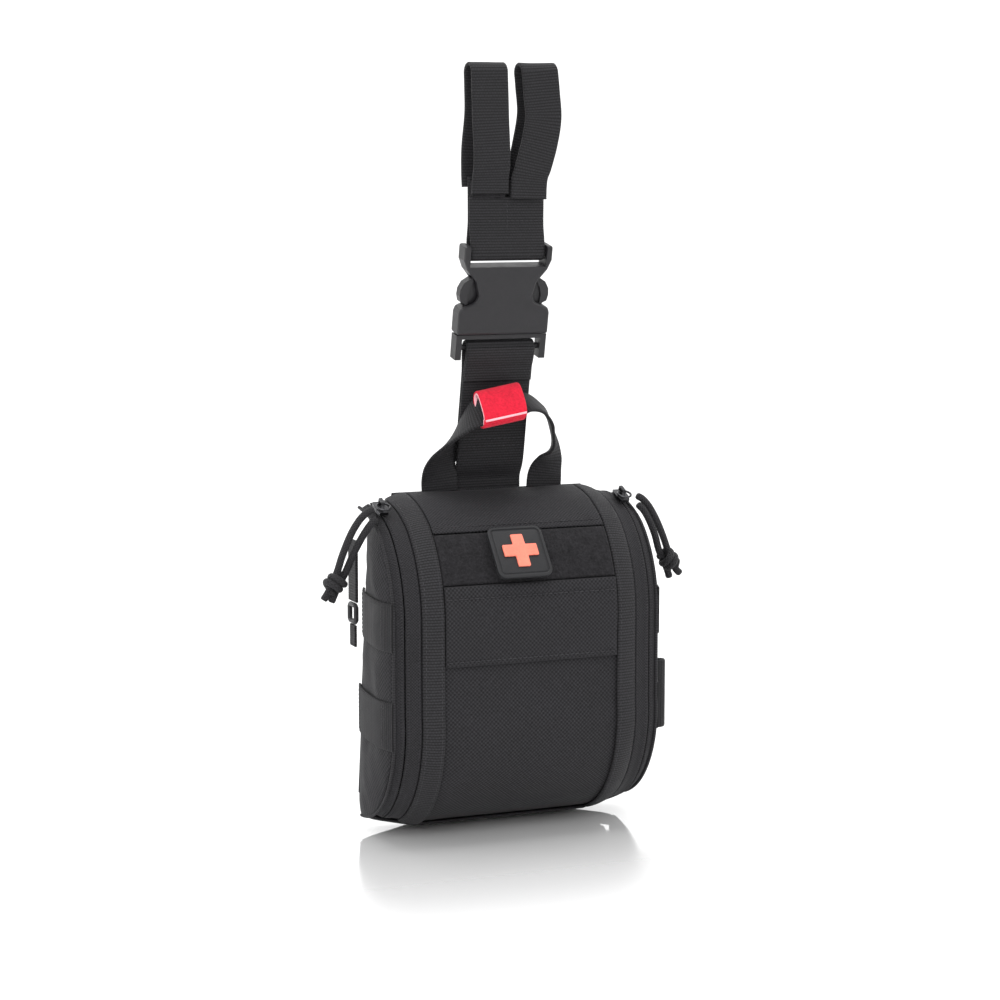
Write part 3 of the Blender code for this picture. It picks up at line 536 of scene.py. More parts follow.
def build_cover():
    def belly(x, run):
        """The unlined lower front swells a little between the bands."""
        low = np.clip((run - run_at(1.46)) / 30.0, 0.0, 1.0) * np.clip((run_at(2.75) - run) / 50.0, 0.0, 1.0)
        return 1.5 * low * np.clip(1.0 - (np.abs(x) / FACE_HALF) ** 4, 0.0, 1.0)

    front_slab("front_fabric", -BAND_HALF, BAND_HALF, 0.045, COVER_FOOT, 2.6, 1.6, "cordura", lift=belly,
               rough=0.35, seed=1.0, body="cover", replaces=("front_panel",))

    def sag(x, run):
        edge = np.clip((run - (run_at(SEAM) - 6.0)) / 6.0, 0.0, 1.0)
        return 0.5 * edge - 0.35 * np.sin(np.pi * np.clip(run / run_at(SEAM), 0, 1)) * np.cos(x / 19.0)

    half = FACE_HALF - 0.4
    front_slab("top_fabric", -half, half, 0.045, SEAM, 0.9, 1.3, "cordura_fine", lift=sag,
               rough=0.5, seed=4.0, body="cover", replaces=("top_panel",))

    def pile(x, run):
        return 0.22 * (np.random.default_rng(7).random(x.shape) - 0.5)

    front_slab("loop_pile", -half, half, SEAM + 0.008, LOOP_FOOT, 1.0, 1.2, "hook_loop", step=0.75, lift=pile,
               body="cover", replaces=("loop_panel",))

    def pocket_lift(x, run):
        hem = np.clip(1.0 - (run - run_at(LOOP_FOOT)) / 7.0, 0.0, 1.0)
        return 0.35 * np.minimum(1.0, hem * 3.0) + 0.4 * np.sin(run / 17.0) * np.cos(x / 23.0) * (1.0 - hem)

    front_slab("pocket_fabric", -half, half, LOOP_FOOT + 0.008, POCKET_FOOT, 0.2, 2.0, "cordura",
               lift=pocket_lift, rough=0.3, seed=9.0, body="cover", replaces=("pocket_panel",))

    rows = []
    for name, side in SIDES:
        low, high = sorted((side * (FACE_HALF + 0.1), side * BAND_HALF))
        middle = (low + high) / 2

        def crown(x, run, middle=middle):
            return 0.75 * (1.0 - ((x - middle) / 5.6) ** 2)

        front_slab(f"band_{name}", low, high, 0.045, 2.78, 0.6, 1.6, "grosgrain", step=1.1, along_step=0.28,
                   lift=crown, rib=1.1, body="cover", replaces=(f"ribbed_band_{name}",))
        for inset, height in ((1.8, 0.35), (9.6, 0.4)):
            rows.append(front_line(side * (FACE_HALF + inset), 0.06, 2.76, 0.6 - height + 0.12))
    rows.append(cross_line(SEAM - 0.035, -half + 1, half - 1, 0.9 - 0.45))
    rows.append(cross_line(LOOP_FOOT + 0.075, -half + 1, half - 1, 0.2 - 0.35))
    rows.append(cross_line(POCKET_FOOT - 0.05, -half + 1, half - 1, 0.2 - 0.25))
    stitches("cover_stitches", rows, 2.9, 2.2, 0.24, "thread", "cover")

    front_slab("mesh_pocket", -50.0, 50.0, 1.1, 2.3, 5.4, 0.8, "lining", rough=0.4, seed=12.0,
               body="cover", replaces=("inner_mesh_pocket",))
    edge = cross_line(1.1, -50.0, 50.0, 5.9)[0]
    tube("mesh_pocket_binding", edge, 1.3, "piping", body="cover")


def build_zips():
    rows_cover, rows_body, ladder_cover, ladder_body = [], [], [], []
    for name, side in SIDES:
        low, high = sorted((side * (BAND_HALF + 0.4), side * (ZIP_HALF - 0.3)))

        def over_coil(x, run):
            return 0.7 * np.clip(1.0 - ((np.abs(x) - ZIP_HALF) / 4.2) ** 2, 0.0, 1.0)

        front_slab(f"tape_cover_{name}", low, high, ZIP_START, ZIP_END, 1.0, 1.0, "zip_tape", step=0.9,
                   along_step=1.2, lift=over_coil, body="cover", replaces=(f"zip_tape_cover_{name}",))
        low, high = sorted((side * (ZIP_HALF + 0.3), side * SEAM_HALF))
        front_slab(f"tape_body_{name}", low, high, ZIP_START, ZIP_END, 1.0, 1.0, "zip_tape", step=0.9,
                   along_step=1.2, lift=over_coil, body="pouch", replaces=(f"zip_tape_body_{name}",))
        for part, body, where, start in (("cover", "cover", ZIP_HALF - 1.05, 0.0),
                                         ("body", "pouch", ZIP_HALF + 1.05, math.pi)):
            run = np.arange(run_at(ZIP_START + 0.02), run_at(ZIP_END - 0.02), 0.19)
            spin = math.tau * run / 1.52 + start
            x = side * (where + 0.55 * np.cos(spin))
            path = front_points(x, along_at(run), 3.05 + 0.42 * np.sin(spin))
            tube(f"coil_{part}_{name}", path, 0.2, "coil_nylon", sides=5, body=body,
                 replaces=(f"zip_coil_{part}_{name}",))
        rows_cover.append(front_line(side * (BAND_HALF + 1.5), ZIP_START + 0.02, ZIP_END - 0.02, 0.95))
        ladder_cover.append(front_line(side * (ZIP_HALF - 1.5), ZIP_START + 0.02, ZIP_END - 0.02, 0.32))
        ladder_body.append(front_line(side * (ZIP_HALF + 1.5), ZIP_START + 0.02, ZIP_END - 0.02, 0.32))
        rows_body.append(front_line(side * (SEAM_HALF - 1.2), ZIP_START + 0.02, ZIP_END - 0.02, 0.95))
    stitches("zip_stitches_cover", rows_cover, 1.9, 1.3, 0.17, "thread", "cover")
    stitches("zip_stitches_body", rows_body, 1.9, 1.3, 0.17, "thread", "pouch")
    stitches("zip_ladder_cover", ladder_cover, 1.55, 1.5, 0.2, "thread", "cover", turned=True)
    stitches("zip_ladder_body", ladder_body, 1.55, 1.5, 0.2, "thread", "pouch", turned=True)


# ---------------------------------------------------------------- gussets, back and base
GUSSET_INSET = 7.9
GUSSET_REAR = POUCH_BACK - 2.4


def gusset_front(z):
    """Where the gusset's front edge lies at a height."""
    radius = POUCH_DEPTH - GUSSET_INSET
    off = np.where(z > TOP_ARC_Z, z - TOP_ARC_Z, np.where(z < BASE_ARC_Z, z - BASE_ARC_Z, 0.0))
    return POUCH_BACK - np.sqrt(np.maximum(radius ** 2 - off ** 2, 0.0))


REAR_Z = (-10.0, 60.0, 115.0, 168.0)
REAR_HALF = (74.2, 72.2, 69.3, 65.5)


def rear_half(z):
    """Half width of the pouch at its rear seam: it narrows towards the top."""
    return np.interp(z, REAR_Z, REAR_HALF)


def side_surface(y, z):
    """Distance of the stuffed side from the middle, held in where the webbing rows cross it."""
    radius = POUCH_DEPTH - GUSSET_INSET
    off = np.where(z > TOP_ARC_Z, z - TOP_ARC_Z, np.where(z < BASE_ARC_Z, z - BASE_ARC_Z, 0.0))
    inside = radius - np.hypot(POUCH_BACK - y, off)
    swell = np.sin(np.clip(inside / 15.0, 0.0, 1.0) * np.pi / 2) ** 0.8
    swell = swell * np.sin(np.clip((GUSSET_REAR - y) / 20.0, 0.0, 1.0) * np.pi / 2)
    hold = sum(np.exp(-((z - centre) / 14.0) ** 4) for centre in PALS_CENTRES)
    share = np.clip((y - 6.0) / (POUCH_BACK - 6.0), 0.0, 1.0)
    straight = (SEAM_HALF + 0.8) * (1.0 - share) + rear_half(z) * share
    corner = np.clip((8.0 - z) / 16.0, 0.0, 1.0) * np.clip((y - 26.0) / 20.0, 0.0, 1.0)
    return straight + swell * (3.6 - 1.5 * hold) - 7.0 * (1.0 - np.sqrt(1.0 - 0.98 * corner ** 2))


def build_gussets():
    top = TOP_ARC_Z + (POUCH_DEPTH - GUSSET_INSET) * math.cos(math.radians(3.6))
    foot = BASE_ARC_Z - (POUCH_DEPTH - GUSSET_INSET) * math.cos(math.radians(3.6))
    heights = spaced(foot, top, 1.6, 0.4)
    rows = []
    for name, side in SIDES:
        share = spaced(0.0, 1.0, 0.04, 0.012)
        z, part = np.meshgrid(heights, share, indexing="ij")
        y = gusset_front(z) + (GUSSET_REAR + 1.0 - gusset_front(z)) * part
        flat = np.stack([np.zeros_like(y), y, z], -1)
        crease = ruffle(flat, 11.0, 0.75, 21.0 + side) * np.sin(np.pi * part) ** 0.5
        sagged = z - BASE_SAG * np.clip((40.0 - z) / 40.0, 0.0, 1.0)
        middle = np.stack([side * (side_surface(y, z) - 0.9 + crease), y, sagged], -1)
        uv = np.stack([y, z], -1)
        slab(f"gusset_fabric_{name}", middle, 1.8, uv, "cordura", (0.0, 20.0, 80.0), body="pouch",
             replaces=(f"gusset_{name}",))
        run = np.arange(run_at(0.04), run_at(2.96), 1.0)
        line = front_points(0.0, along_at(run), 7.5)
        line[:, 0] = side * (SEAM_HALF + 0.1)
        tube(f"gusset_piping_{name}", line, 0.85, "piping", body="pouch")
        for row, centre in zip(("upper", "lower"), PALS_CENTRES):
            part = np.linspace(0.0, 1.0, 30)
            front = gusset_front(np.float64(centre))
            ys = front - 0.9 + (POUCH_BACK + 0.8 - front) * part
            proud = 0.9 * np.clip(np.minimum(part, 1.0 - part) / 0.1, -0.6, 1.0)
            proud = proud + 0.5 * np.sin(np.pi * part) ** 2
            xs = side_surface(ys, np.full_like(ys, centre)) + proud
            line = np.stack([side * xs, ys, np.full_like(ys, centre)], -1)
            ribbon(f"pals_web_{row}_{name}", line, (0.0, 0.0, 1.0), 2 * PALS_HALF, 1.4, "webbing",
                   (0.0, 20.0, centre), body="pouch", replaces=(f"pals_{row}_{name}",))
            for end in (4, -4):
                spot = line[end] + np.array((side * 0.75, 0.0, 0.0))
                ends = spot + np.array([(0, 0, -PALS_HALF + 1.5), (0, 0, PALS_HALF - 1.5)])
                rows.append((np.linspace(ends[0], ends[1], 30), (side, 0.0, 0.0)))
    stitches("pals_stitches", rows, 2.2, 1.8, 0.22, "thread", "pouch")


def rounded_square(half_x, half_z, radius, count=24):
    """Points round a rounded rectangle, and the direction out from each."""
    points = []
    for cx, cz, start in ((1, 1, 0), (-1, 1, 90), (-1, -1, 180), (1, -1, 270)):
        for k in range(count):
            turn = math.radians(start + 90.0 * k / (count - 1))
            points.append((cx * (half_x - radius) + radius * math.cos(turn),
                           cz * (half_z - radius) + radius * math.sin(turn)))
    return np.array(points)


def cushion(name, centre, half_x, half_z, radius, profile, material, height=None, warp=None, **more):
    """A padded sheet facing +Y or -Y, from rings of a rounded rectangle.

    profile lists (distance in from the rim, height on the outer face); height(x, z) adds to it.
    """
    rings, uv = [], []
    facing = more.pop("facing", 1.0)
    for inward, rise in profile:
        ring = rounded_square(half_x - inward, half_z - inward, max(radius - inward, 0.6))
        if warp is not None:
            ring[:, 0] *= warp(ring[:, 1] + centre[2])
        lift = np.full(len(ring), rise)
        if height is not None:
            lift = lift + height(ring[:, 0], ring[:, 1], inward)
        rings.append(np.stack([centre[0] + ring[:, 0], centre[1] + facing * lift,
                               centre[2] + ring[:, 1]], -1))
        uv.append(ring)
    count = len(rings[0])
    index = np.arange(len(rings) * count).reshape(len(rings), count)
    ahead = np.roll(index, -1, 1)
    faces = np.stack([index[:-1], ahead[:-1], ahead[1:], index[1:]], -1).reshape(-1, 4).tolist()
    faces += [index[0].tolist(), index[-1][::-1].tolist()]
    return make(name, np.concatenate(rings), faces, np.concatenate(uv), material, **more)


def dense_profile(half, rim, height, step=2.0):
    """A rim that rises over a few millimetres, then even rings to the middle."""
    rings = [(0.5, 0.0), (0.0, 0.3)]
    rings += [(rim * t, 0.3 + (height - 0.3) * math.sin(t * math.pi / 2)) for t in (0.25, 0.5, 0.75, 1.0)]
    rings += [(float(d), height) for d in np.arange(rim + step, half - 1.0, step)]
    return rings


def build_back():
    middle_z = (BACK_PANEL_TOP - 10.0) / 2
    half_z = (BACK_PANEL_TOP + 10.0) / 2

    def soft(x, z, inward):
        waves = np.array([noise.noise(Vector((a / 22.0, b / 22.0, 5.0))) for a, b in zip(x, z)])
        return 0.35 * waves * min(1.0, inward / 8)

    def narrow(z):
        return rear_half(z) / REAR_HALF[0]

    half_z -= 4.3
    middle_z += 1.7
    half_x = REAR_HALF[0] - 1.0
    cushion("back_fabric", (0.0, POUCH_BACK - 2.0, middle_z), half_x, half_z, 20.0,
            dense_profile(half_x, 3.0, 2.0), "cordura", height=soft, warp=narrow, body="pouch",
            replaces=("back_panel",))
    edge = rounded_square(half_x, half_z - 0.4, 20.0)
    heights = edge[:, 1] + middle_z
    path = np.stack([edge[:, 0] * narrow(heights), np.full(len(edge), POUCH_BACK - 1.2), heights], -1)
    dense, __ = resample(np.vstack([path, path[:1]]), 2.0)
    tube("back_binding", dense[:-1], 1.1, "piping", closed=True, body="pouch")
    cushion("stiffener_board", (0.0, POUCH_BACK - 2.4, 79.5), 69.0, 76.5, 10.0,
            [(0.5, 0.0), (0.0, 0.3), (0.3, 1.6), (30.0, 1.6)], "stiffener", facing=-1.0, body="pouch",
            replaces=("back_stiffener",))
    cushion("organiser_fabric", (0.0, POUCH_BACK - 4.4, 79.0), 66.0, 71.0, 8.0,
            dense_profile(66.0, 1.2, 1.2, 4.0), "lining", facing=-1.0, body="pouch",
            replaces=("organiser_panel",))
    edge = rounded_square(65.4, 70.4, 7.5)
    path = np.stack([edge[:, 0], np.full(len(edge), POUCH_BACK - 5.4), edge[:, 1] + 79.0], -1)
    dense, __ = resample(np.vstack([path, path[:1]]), 2.0)
    tube("organiser_binding", dense[:-1], 1.0, "piping", closed=True, body="pouch")
    build_elastic_loops()
    build_thigh_pad()
    build_base()


def build_elastic_loops():
    face = POUCH_BACK - 6.0
    rows = []
    for name, side in SIDES:
        x = side * 26.0
        line = [(x - 22.0, face - 0.6, 82.5), (x - 20.0, face - 1.0, 82.5)]
        line += [(x - 20.0 + 5.0 * i, face - 1.0 - 9.0 * math.sin(math.pi * i / 8), 82.5)
                 for i in range(1, 8)]
        line += [(x + 20.0, face - 1.0, 82.5), (x + 22.0, face - 0.6, 82.5)]
        ribbon(f"elastic_{name}", line, (0.0, 0.0, 1.0), 25.0, 1.0, "webbing", (x, 60.0, 82.0), body="pouch",
               replaces=(f"elastic_loop_{name}",))
        for end in (-21.0, 21.0):
            ends = (x + end, face - 1.4, 71.5), (x + end, face - 1.4, 93.5)
            rows.append((np.linspace(*ends, 20), (0.0, -1.0, 0.0)))
    stitches("elastic_stitches", rows, 2.2, 1.8, 0.25, "thread", "pouch")


def build_thigh_pad():
    """A quilted pad behind the back panel, sewn in three channels across."""
    def quilt(x, z, inward):
        if inward < 3.0:
            return np.zeros_like(x)
        valley = np.min([np.abs(z - s) for s in (-23.5, 0.0, 23.5)], axis=0)
        crown = 0.6 * np.cos(x / 56.0 * math.pi / 2)
        return crown - 1.3 * np.exp(-(valley / 1.6) ** 2)

    pad = cushion("thigh_pad_quilted", (0.0, POUCH_BACK + 0.4, 51.0), 56.0, 47.0, 12.0,
                  dense_profile(47.0, 6.0, 3.4, 1.2), "lining", height=quilt, body="pouch",
                  replaces=("thigh_pad",))
    edge = rounded_square(56.2, 47.2, 12.2)
    path = np.stack([edge[:, 0], np.full(len(edge), POUCH_BACK + 1.3), edge[:, 1] + 51.0], -1)
    dense, __ = resample(np.vstack([path, path[:1]]), 2.0)
    tube("thigh_pad_binding", dense[:-1], 1.0, "piping", closed=True, body="pouch")
    rows = []
    for s in (-23.5, 0.0, 23.5):
        ends = (-50.0, POUCH_BACK + 2.7, 51.0 + s), (50.0, POUCH_BACK + 2.7, 51.0 + s)
        rows.append((np.linspace(*ends, 60), (0.0, 1.0, 0.0)))
    stitches("thigh_pad_stitches", rows, 3.0, 2.3, 0.25, "thread", "pouch")


def build_base():
    """The fold under the pouch, where the cover's fabric turns into the back."""
    turn = np.linspace(math.radians(17.5), math.radians(2.0), 34)
    radius = POUCH_DEPTH - 1.0
    y = POUCH_BACK - radius * np.sin(turn)
    z = np.maximum(BASE_ARC_Z - radius * np.cos(turn), HINGE_Z - 0.4) - BASE_SAG
    narrow = np.ones(len(y))
    y = np.concatenate([y, (45.6, 46.6, 46.9, 46.8, 46.6, 46.5)])
    z = np.concatenate([z, (-11.4, -10.2, -8.0, -5.0, -2.0, 1.0)])
    narrow = np.concatenate([narrow, (0.99, 0.975, 0.95, 0.925, 0.91, 0.90)])
    x = spaced(-SEAM_HALF + 0.8, SEAM_HALF - 0.8, 3.0)
    slope = np.interp(np.abs(x), SLOPE_X, SLOPE_DEPTH) * 0.95
    rise = np.broadcast_to(slope[None, :], (len(y), len(x)))
    grid = np.stack(np.broadcast_arrays(x[None, :] * narrow[:, None], y[:, None], z[:, None] + rise), -1)
    run = np.concatenate([[0.0], np.cumsum(np.hypot(np.diff(y), np.diff(z)))])
    uv = np.stack(np.broadcast_arrays(x[None, :], run[:, None]), -1)
    base = slab("base_fabric", grid, 1.4, uv, "cordura", CORE, replaces=("base_strip",))
    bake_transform(base)


# ---------------------------------------------------------------- belt hanger and drop strap
def to_pouch(y, z):
    return (BUCKLE_BAR[1] + y * math.cos(STRAP_TILT) - z * math.sin(STRAP_TILT),
            BUCKLE_BAR[2] + y * math.sin(STRAP_TILT) + z * math.cos(STRAP_TILT))


def arc_points(centre, radius, start, end, steps):
    turns = np.radians(np.linspace(start, end, steps + 1))
    return [(centre[0] + radius * math.cos(t), centre[1] + radius * math.sin(t)) for t in turns]


def splay(z):
    """The belt loops lean apart above the place where they are sewn together."""
    return 2.2 * np.clip((np.asarray(z) - 326.0) / 32.0, 0.0, 1.0) ** 1.3


def build_hanger():
    """One wide web round the buckle bar, and two narrow loops that leave it and fold over the belt."""
    belt_y = 16.0
    rear = belt_y + BELT_SLOT / 2 + LOOP_PLY / 2 + 0.2
    front_ply = rear - LOOP_PLY - 0.4
    bar_y, bar_z = BUCKLE_BAR[1], BUCKLE_BAR[2]
    wrap = BAR_RADIUS + 0.8 + LOOP_PLY / 2
    wide = [(rear + 0.3, 330.0), (rear, bar_z + 24), (rear + 0.2, bar_z + 15), (bar_y + wrap - 0.4, bar_z + 7)]
    wide += arc_points((bar_y, bar_z), wrap, 10, -190, 10)
    wide += [(bar_y - wrap + 0.9, bar_z + 7), (front_ply - 0.1, bar_z + 14), (front_ply - 0.1, bar_z + 22),
             (front_ply - 0.3, 320.0)]
    both = 2 * LOOP_WIDTH + LOOP_SPACE
    ribbon("hanger_wide_web", [(0.0, y, z) for y, z in wide], (1.0, 0.0, 0.0), both, LOOP_PLY, "webbing",
           (0.0, 20.0, 310.0), body="hanger", replaces=("hanger_web_left", "hanger_web_right"))
    front = belt_y - BELT_SLOT / 2 - LOOP_PLY / 2 - 0.2
    lap, crown = belt_y - 0.4, BELT_TOP - 2.8
    middle = (front + rear) / 2
    rear_web = [(rear + 1.9, 325.0), (rear + 2.3, 332.0), (rear + 2.0, 345.0), (rear + 0.6, 362.0), (rear, 376.0),
                (rear, crown), (rear - 0.6, crown + 1.6)]
    flap = [(rear, crown)]
    flap += [(middle + (rear - middle) * math.cos(t), crown + 4.4 * math.sin(t))
             for t in [math.pi * i / 8 for i in range(1, 9)]]
    flap += [(front - 0.3, 372.0), (front - 0.4, 360.0), (front - 0.1, 348.0), (front + 0.4, 340.0),
             (front + 1.6, 334.0), (lap - 1.2, 330.0), (lap - 0.5, 326.5), (lap - 0.4, 322.0)]
    feet = {"left": 321.4, "right": 318.6}
    rows = []
    for name, side in SIDES:
        centre_x = side * (LOOP_SPACE + LOOP_WIDTH) / 2
        slack = 2.6 if side > 0 else 0.7

        def placed(path, slip=0.0):
            """The path in place: the loops lean apart, and the right one bows out more."""
            spots = []
            for y, z in path:
                lean = 1.6 * float(np.clip((z - 330.0) / 25.0, 0.0, 1.0)) if side > 0 else 0.0
                bow = slack * math.exp(-((z - 358.0) / 22.0) ** 2)
                spots.append((centre_x + side * float(splay(z)) + lean + bow + slip, y, z))
            return spots

        inside = (centre_x, belt_y, 350.0)
        slip = -2.6 if side < 0 else 0.0
        low_ends = [(x + slip * float(np.clip((362.0 - z) / 22.0, 0.0, 1.0)), y, z)
                    for x, y, z in placed(rear_web)]
        ribbon(f"loop_rear_{name}", low_ends, (1.0, 0.0, 0.0), LOOP_WIDTH, LOOP_PLY, "webbing", inside,
               body="hanger")
        ribbon(f"flap_ribbon_{name}", placed(flap + [(lap - 0.5, feet[name])]), (1.0, 0.0, 0.0),
               LOOP_WIDTH, LOOP_PLY, "webbing", inside, ease=0.35,
               body=f"flap_{name}", replaces=(f"belt_flap_{name}",))
        hook_y = lap + LOOP_PLY / 2 + 0.5
        for part, body, y_low, y_high, z_low, z_high in (
                ("hook", f"flap_{name}", hook_y, hook_y + 0.8, 319.6, 326.4),
                ("loop", "hanger", hook_y + 1.1, rear - LOOP_PLY / 2 - 0.3, 318.4, 328.0)):
            x = spaced(centre_x - 9.0, centre_x + 9.0, 0.8)
            z = spaced(z_low, z_high, 0.8)
            grid_x, grid_z = np.meshgrid(x, z)
            rough = 0.15 * np.random.default_rng(3).random(grid_x.shape)
            grid = np.stack([grid_x, (y_low + y_high) / 2 - rough, grid_z], -1)
            slab(f"flap_{part}_pile_{name}", grid, y_high - y_low, np.stack([grid_x, grid_z], -1),
                 "hook_loop", (centre_x, 60.0, 320.0), body=body, replaces=(f"flap_{part}_{name}",))
    face = front_ply - LOOP_PLY / 2 - 0.02
    rows.append((np.linspace((-19.0, face, 307.5), (19.0, face, 307.5), 30), (0.0, -1.0, 0.0)))
    rows.append((np.linspace((0.0, face, 319.0), (0.0, face, 296.0), 30), (0.0, -1.0, 0.0)))
    stitches("hanger_stitches", rows, 2.6, 1.9, 0.22, "thread", "hanger")


def build_drop_strap():
    ply = STRAP_PLY / 2 + 0.2
    wrap = BAR_RADIUS + 0.5 + STRAP_PLY / 2
    local = [(ply, -113.0), (ply, -90.0), (ply, -66.0), (ply + 0.6, -60.0), (wrap - 0.4, -55.0)]
    local += arc_points((0.0, MALE_BAR_Z), wrap, -10, 190, 10)
    local += [(-wrap + 0.4, -55.0), (-ply - 0.6, -60.0), (-ply, -66.0), (-ply, -90.0), (-ply, -112.0)]
    path = [(0.0, *to_pouch(*p)) for p in local]
    sewn = POUCH_BACK + 0.4 + STRAP_PLY / 2
    path += [(0.0, sewn - 0.9, 173.0), (0.0, sewn, 169.0), (0.0, sewn, 150.0), (0.0, sewn, 104.0)]
    ribbon("drop_strap_web", path, (1.0, 0.0, 0.0), 2 * STRAP_HALF, STRAP_PLY, "webbing", (0.0, 20.0, 240.0),
           body="pouch", replaces=("drop_strap",))
    tail = [(-wrap - STRAP_PLY / 2 - 0.5, -49.2), (-wrap - STRAP_PLY / 2 - 0.4, -52.0), (-wrap - 0.9, -56.0),
            (-ply - STRAP_PLY / 2 - 0.9, -60.0), (-ply - STRAP_PLY / 2 - 0.75, -64.0),
            (-ply - STRAP_PLY / 2 - 0.75, -68.0)]
    ribbon("strap_tail_web", [(0.0, *to_pouch(*p)) for p in tail], (1.0, 0.0, 0.0), 2 * STRAP_HALF - 0.3, 1.3,
           "webbing", (0.0, 60.0, 240.0), body="pouch")
    rows = []
    tilt_out = (0.0, -math.cos(STRAP_TILT), -math.sin(STRAP_TILT))
    for z in (-104.0, -100.0):
        y_mid, z_mid = to_pouch(-ply - STRAP_PLY / 2, z)
        rows.append((np.linspace((-17.0, y_mid, z_mid), (17.0, y_mid, z_mid), 40), tilt_out))
    rear = sewn + STRAP_PLY / 2
    corners = [(-16.5, 110.0), (16.5, 110.0), (16.5, 146.0), (-16.5, 146.0), (-16.5, 110.0), (16.5, 146.0),
               (16.5, 110.0), (-16.5, 146.0)]
    for (x1, z1), (x2, z2) in zip(corners, corners[1:]):
        rows.append((np.linspace((x1, rear, z1), (x2, rear, z2), 40), (0.0, 1.0, 0.0)))
    stitches("strap_stitches", rows, 2.8, 2.1, 0.26, "thread", "pouch")


# ---------------------------------------------------------------- patch
PATCH_TILT = math.radians(49.0)      # the stiff patch lies flatter than the fabric under it
PATCH_CURVE = 120.0


def patch_points(x, forward, rise):
    """Points on the slightly curved patch: rise is the height above the pouch outline."""
    centre = math.radians(PATCH_ANGLE - 1.0)
    y0 = POUCH_BACK - POUCH_DEPTH * math.sin(centre) - 1.0 * math.sin(PATCH_TILT) - 1.4
    z0 = TOP_ARC_Z + POUCH_DEPTH * math.cos(centre) + 1.0 * math.cos(PATCH_TILT) - 1.9
    turn = PATCH_TILT + forward / PATCH_CURVE
    radius = PATCH_CURVE + rise
    y = y0 + PATCH_CURVE * math.sin(PATCH_TILT) - radius * np.sin(turn)
    z = z0 - PATCH_CURVE * math.cos(PATCH_TILT) + radius * np.cos(turn)
    return np.stack(np.broadcast_arrays(PATCH_X - 1.8 + x, y, z), -1)


def patch_ring(inset, rise, radius=4.2, half=PATCH_HALF):
    ring = rounded_square(half - inset, half - inset, max(radius - inset, 0.8), 10)
    return patch_points(ring[:, 0], -ring[:, 1], rise), ring


def ring_stack(name, rings, uvs, material, **more):
    count = len(rings[0])
    index = np.arange(len(rings) * count).reshape(len(rings), count)
    ahead = np.roll(index, -1, 1)
    faces = np.stack([index[:-1], ahead[:-1], ahead[1:], index[1:]], -1).reshape(-1, 4).tolist()
    faces += [index[0].tolist(), index[-1][::-1].tolist()]
    return make(name, np.concatenate(rings), faces, np.concatenate(uvs), material, **more)


def build_patch():
    profile = ((1.0, 0.75), (0.2, 0.75), (0.0, 1.0), (0.0, 2.3), (0.15, 2.65), (0.45, 2.8),
               (1.25, 2.8), (1.5, 2.7), (1.6, 2.3), (2.0, 2.15), (2.35, 2.3), (2.5, 2.6),
               (2.8, 2.65), (4.0, 2.65), (8.0, 2.65), (12.0, 2.65))
    rings, uvs = zip(*[patch_ring(*p) for p in profile])
    ring_stack("patch_body", rings, uvs, "pvc_dark", smooth_angle=50, body="patch", replaces=("patch_base",))
    rings, uvs = zip(*[patch_ring(*p)
                       for p in ((2.0, -0.6), (0.6, -0.6), (0.4, 0.3), (0.9, 0.6), (3.0, 0.6))])
    ring_stack("patch_hook_pad", rings, uvs, "hook_loop", body="patch", replaces=("patch_hook",))
    arm, width = 9.4, 3.3
    corners = [(width, arm), (width, width), (arm, width), (arm, -width), (width, -width), (width, -arm),
               (-width, -arm), (-width, -width), (-arm, -width), (-arm, width), (-width, width), (-width, arm)]
    outline = []
    for k, corner in enumerate(corners):
        before, after = corners[k - 1], corners[(k + 1) % 12]
        for other in (before, after):
            step = np.array(other, float) - corner
            outline.append(np.array(corner) + step / np.linalg.norm(step) * 0.35)
    outline = np.array(outline)
    size = np.abs(outline).max(1, keepdims=True)
    rings, uvs = [], []
    for inset, rise in ((0.5, 2.6), (0.0, 2.66), (0.0, 3.35), (0.12, 3.55), (0.35, 3.62)):
        ring = outline - np.sign(outline) * inset * np.where(size > 0, 1.0, 0.0)
        rings.append(patch_points(ring[:, 0], -ring[:, 1], rise))
        uvs.append(ring)
    ring_stack("patch_plus_raised", rings, uvs, "pvc_salmon", smooth_angle=40, body="patch",
               replaces=("patch_plus",))


# ---------------------------------------------------------------- zip pulls
def pull_eye(side):
    turn = math.radians(SLIDER_ANGLE)
    radius = POUCH_DEPTH - 0.9
    return np.array((side * ZIP_HALF, POUCH_BACK - radius * math.sin(turn),
                     TOP_ARC_Z + radius * math.cos(turn)))


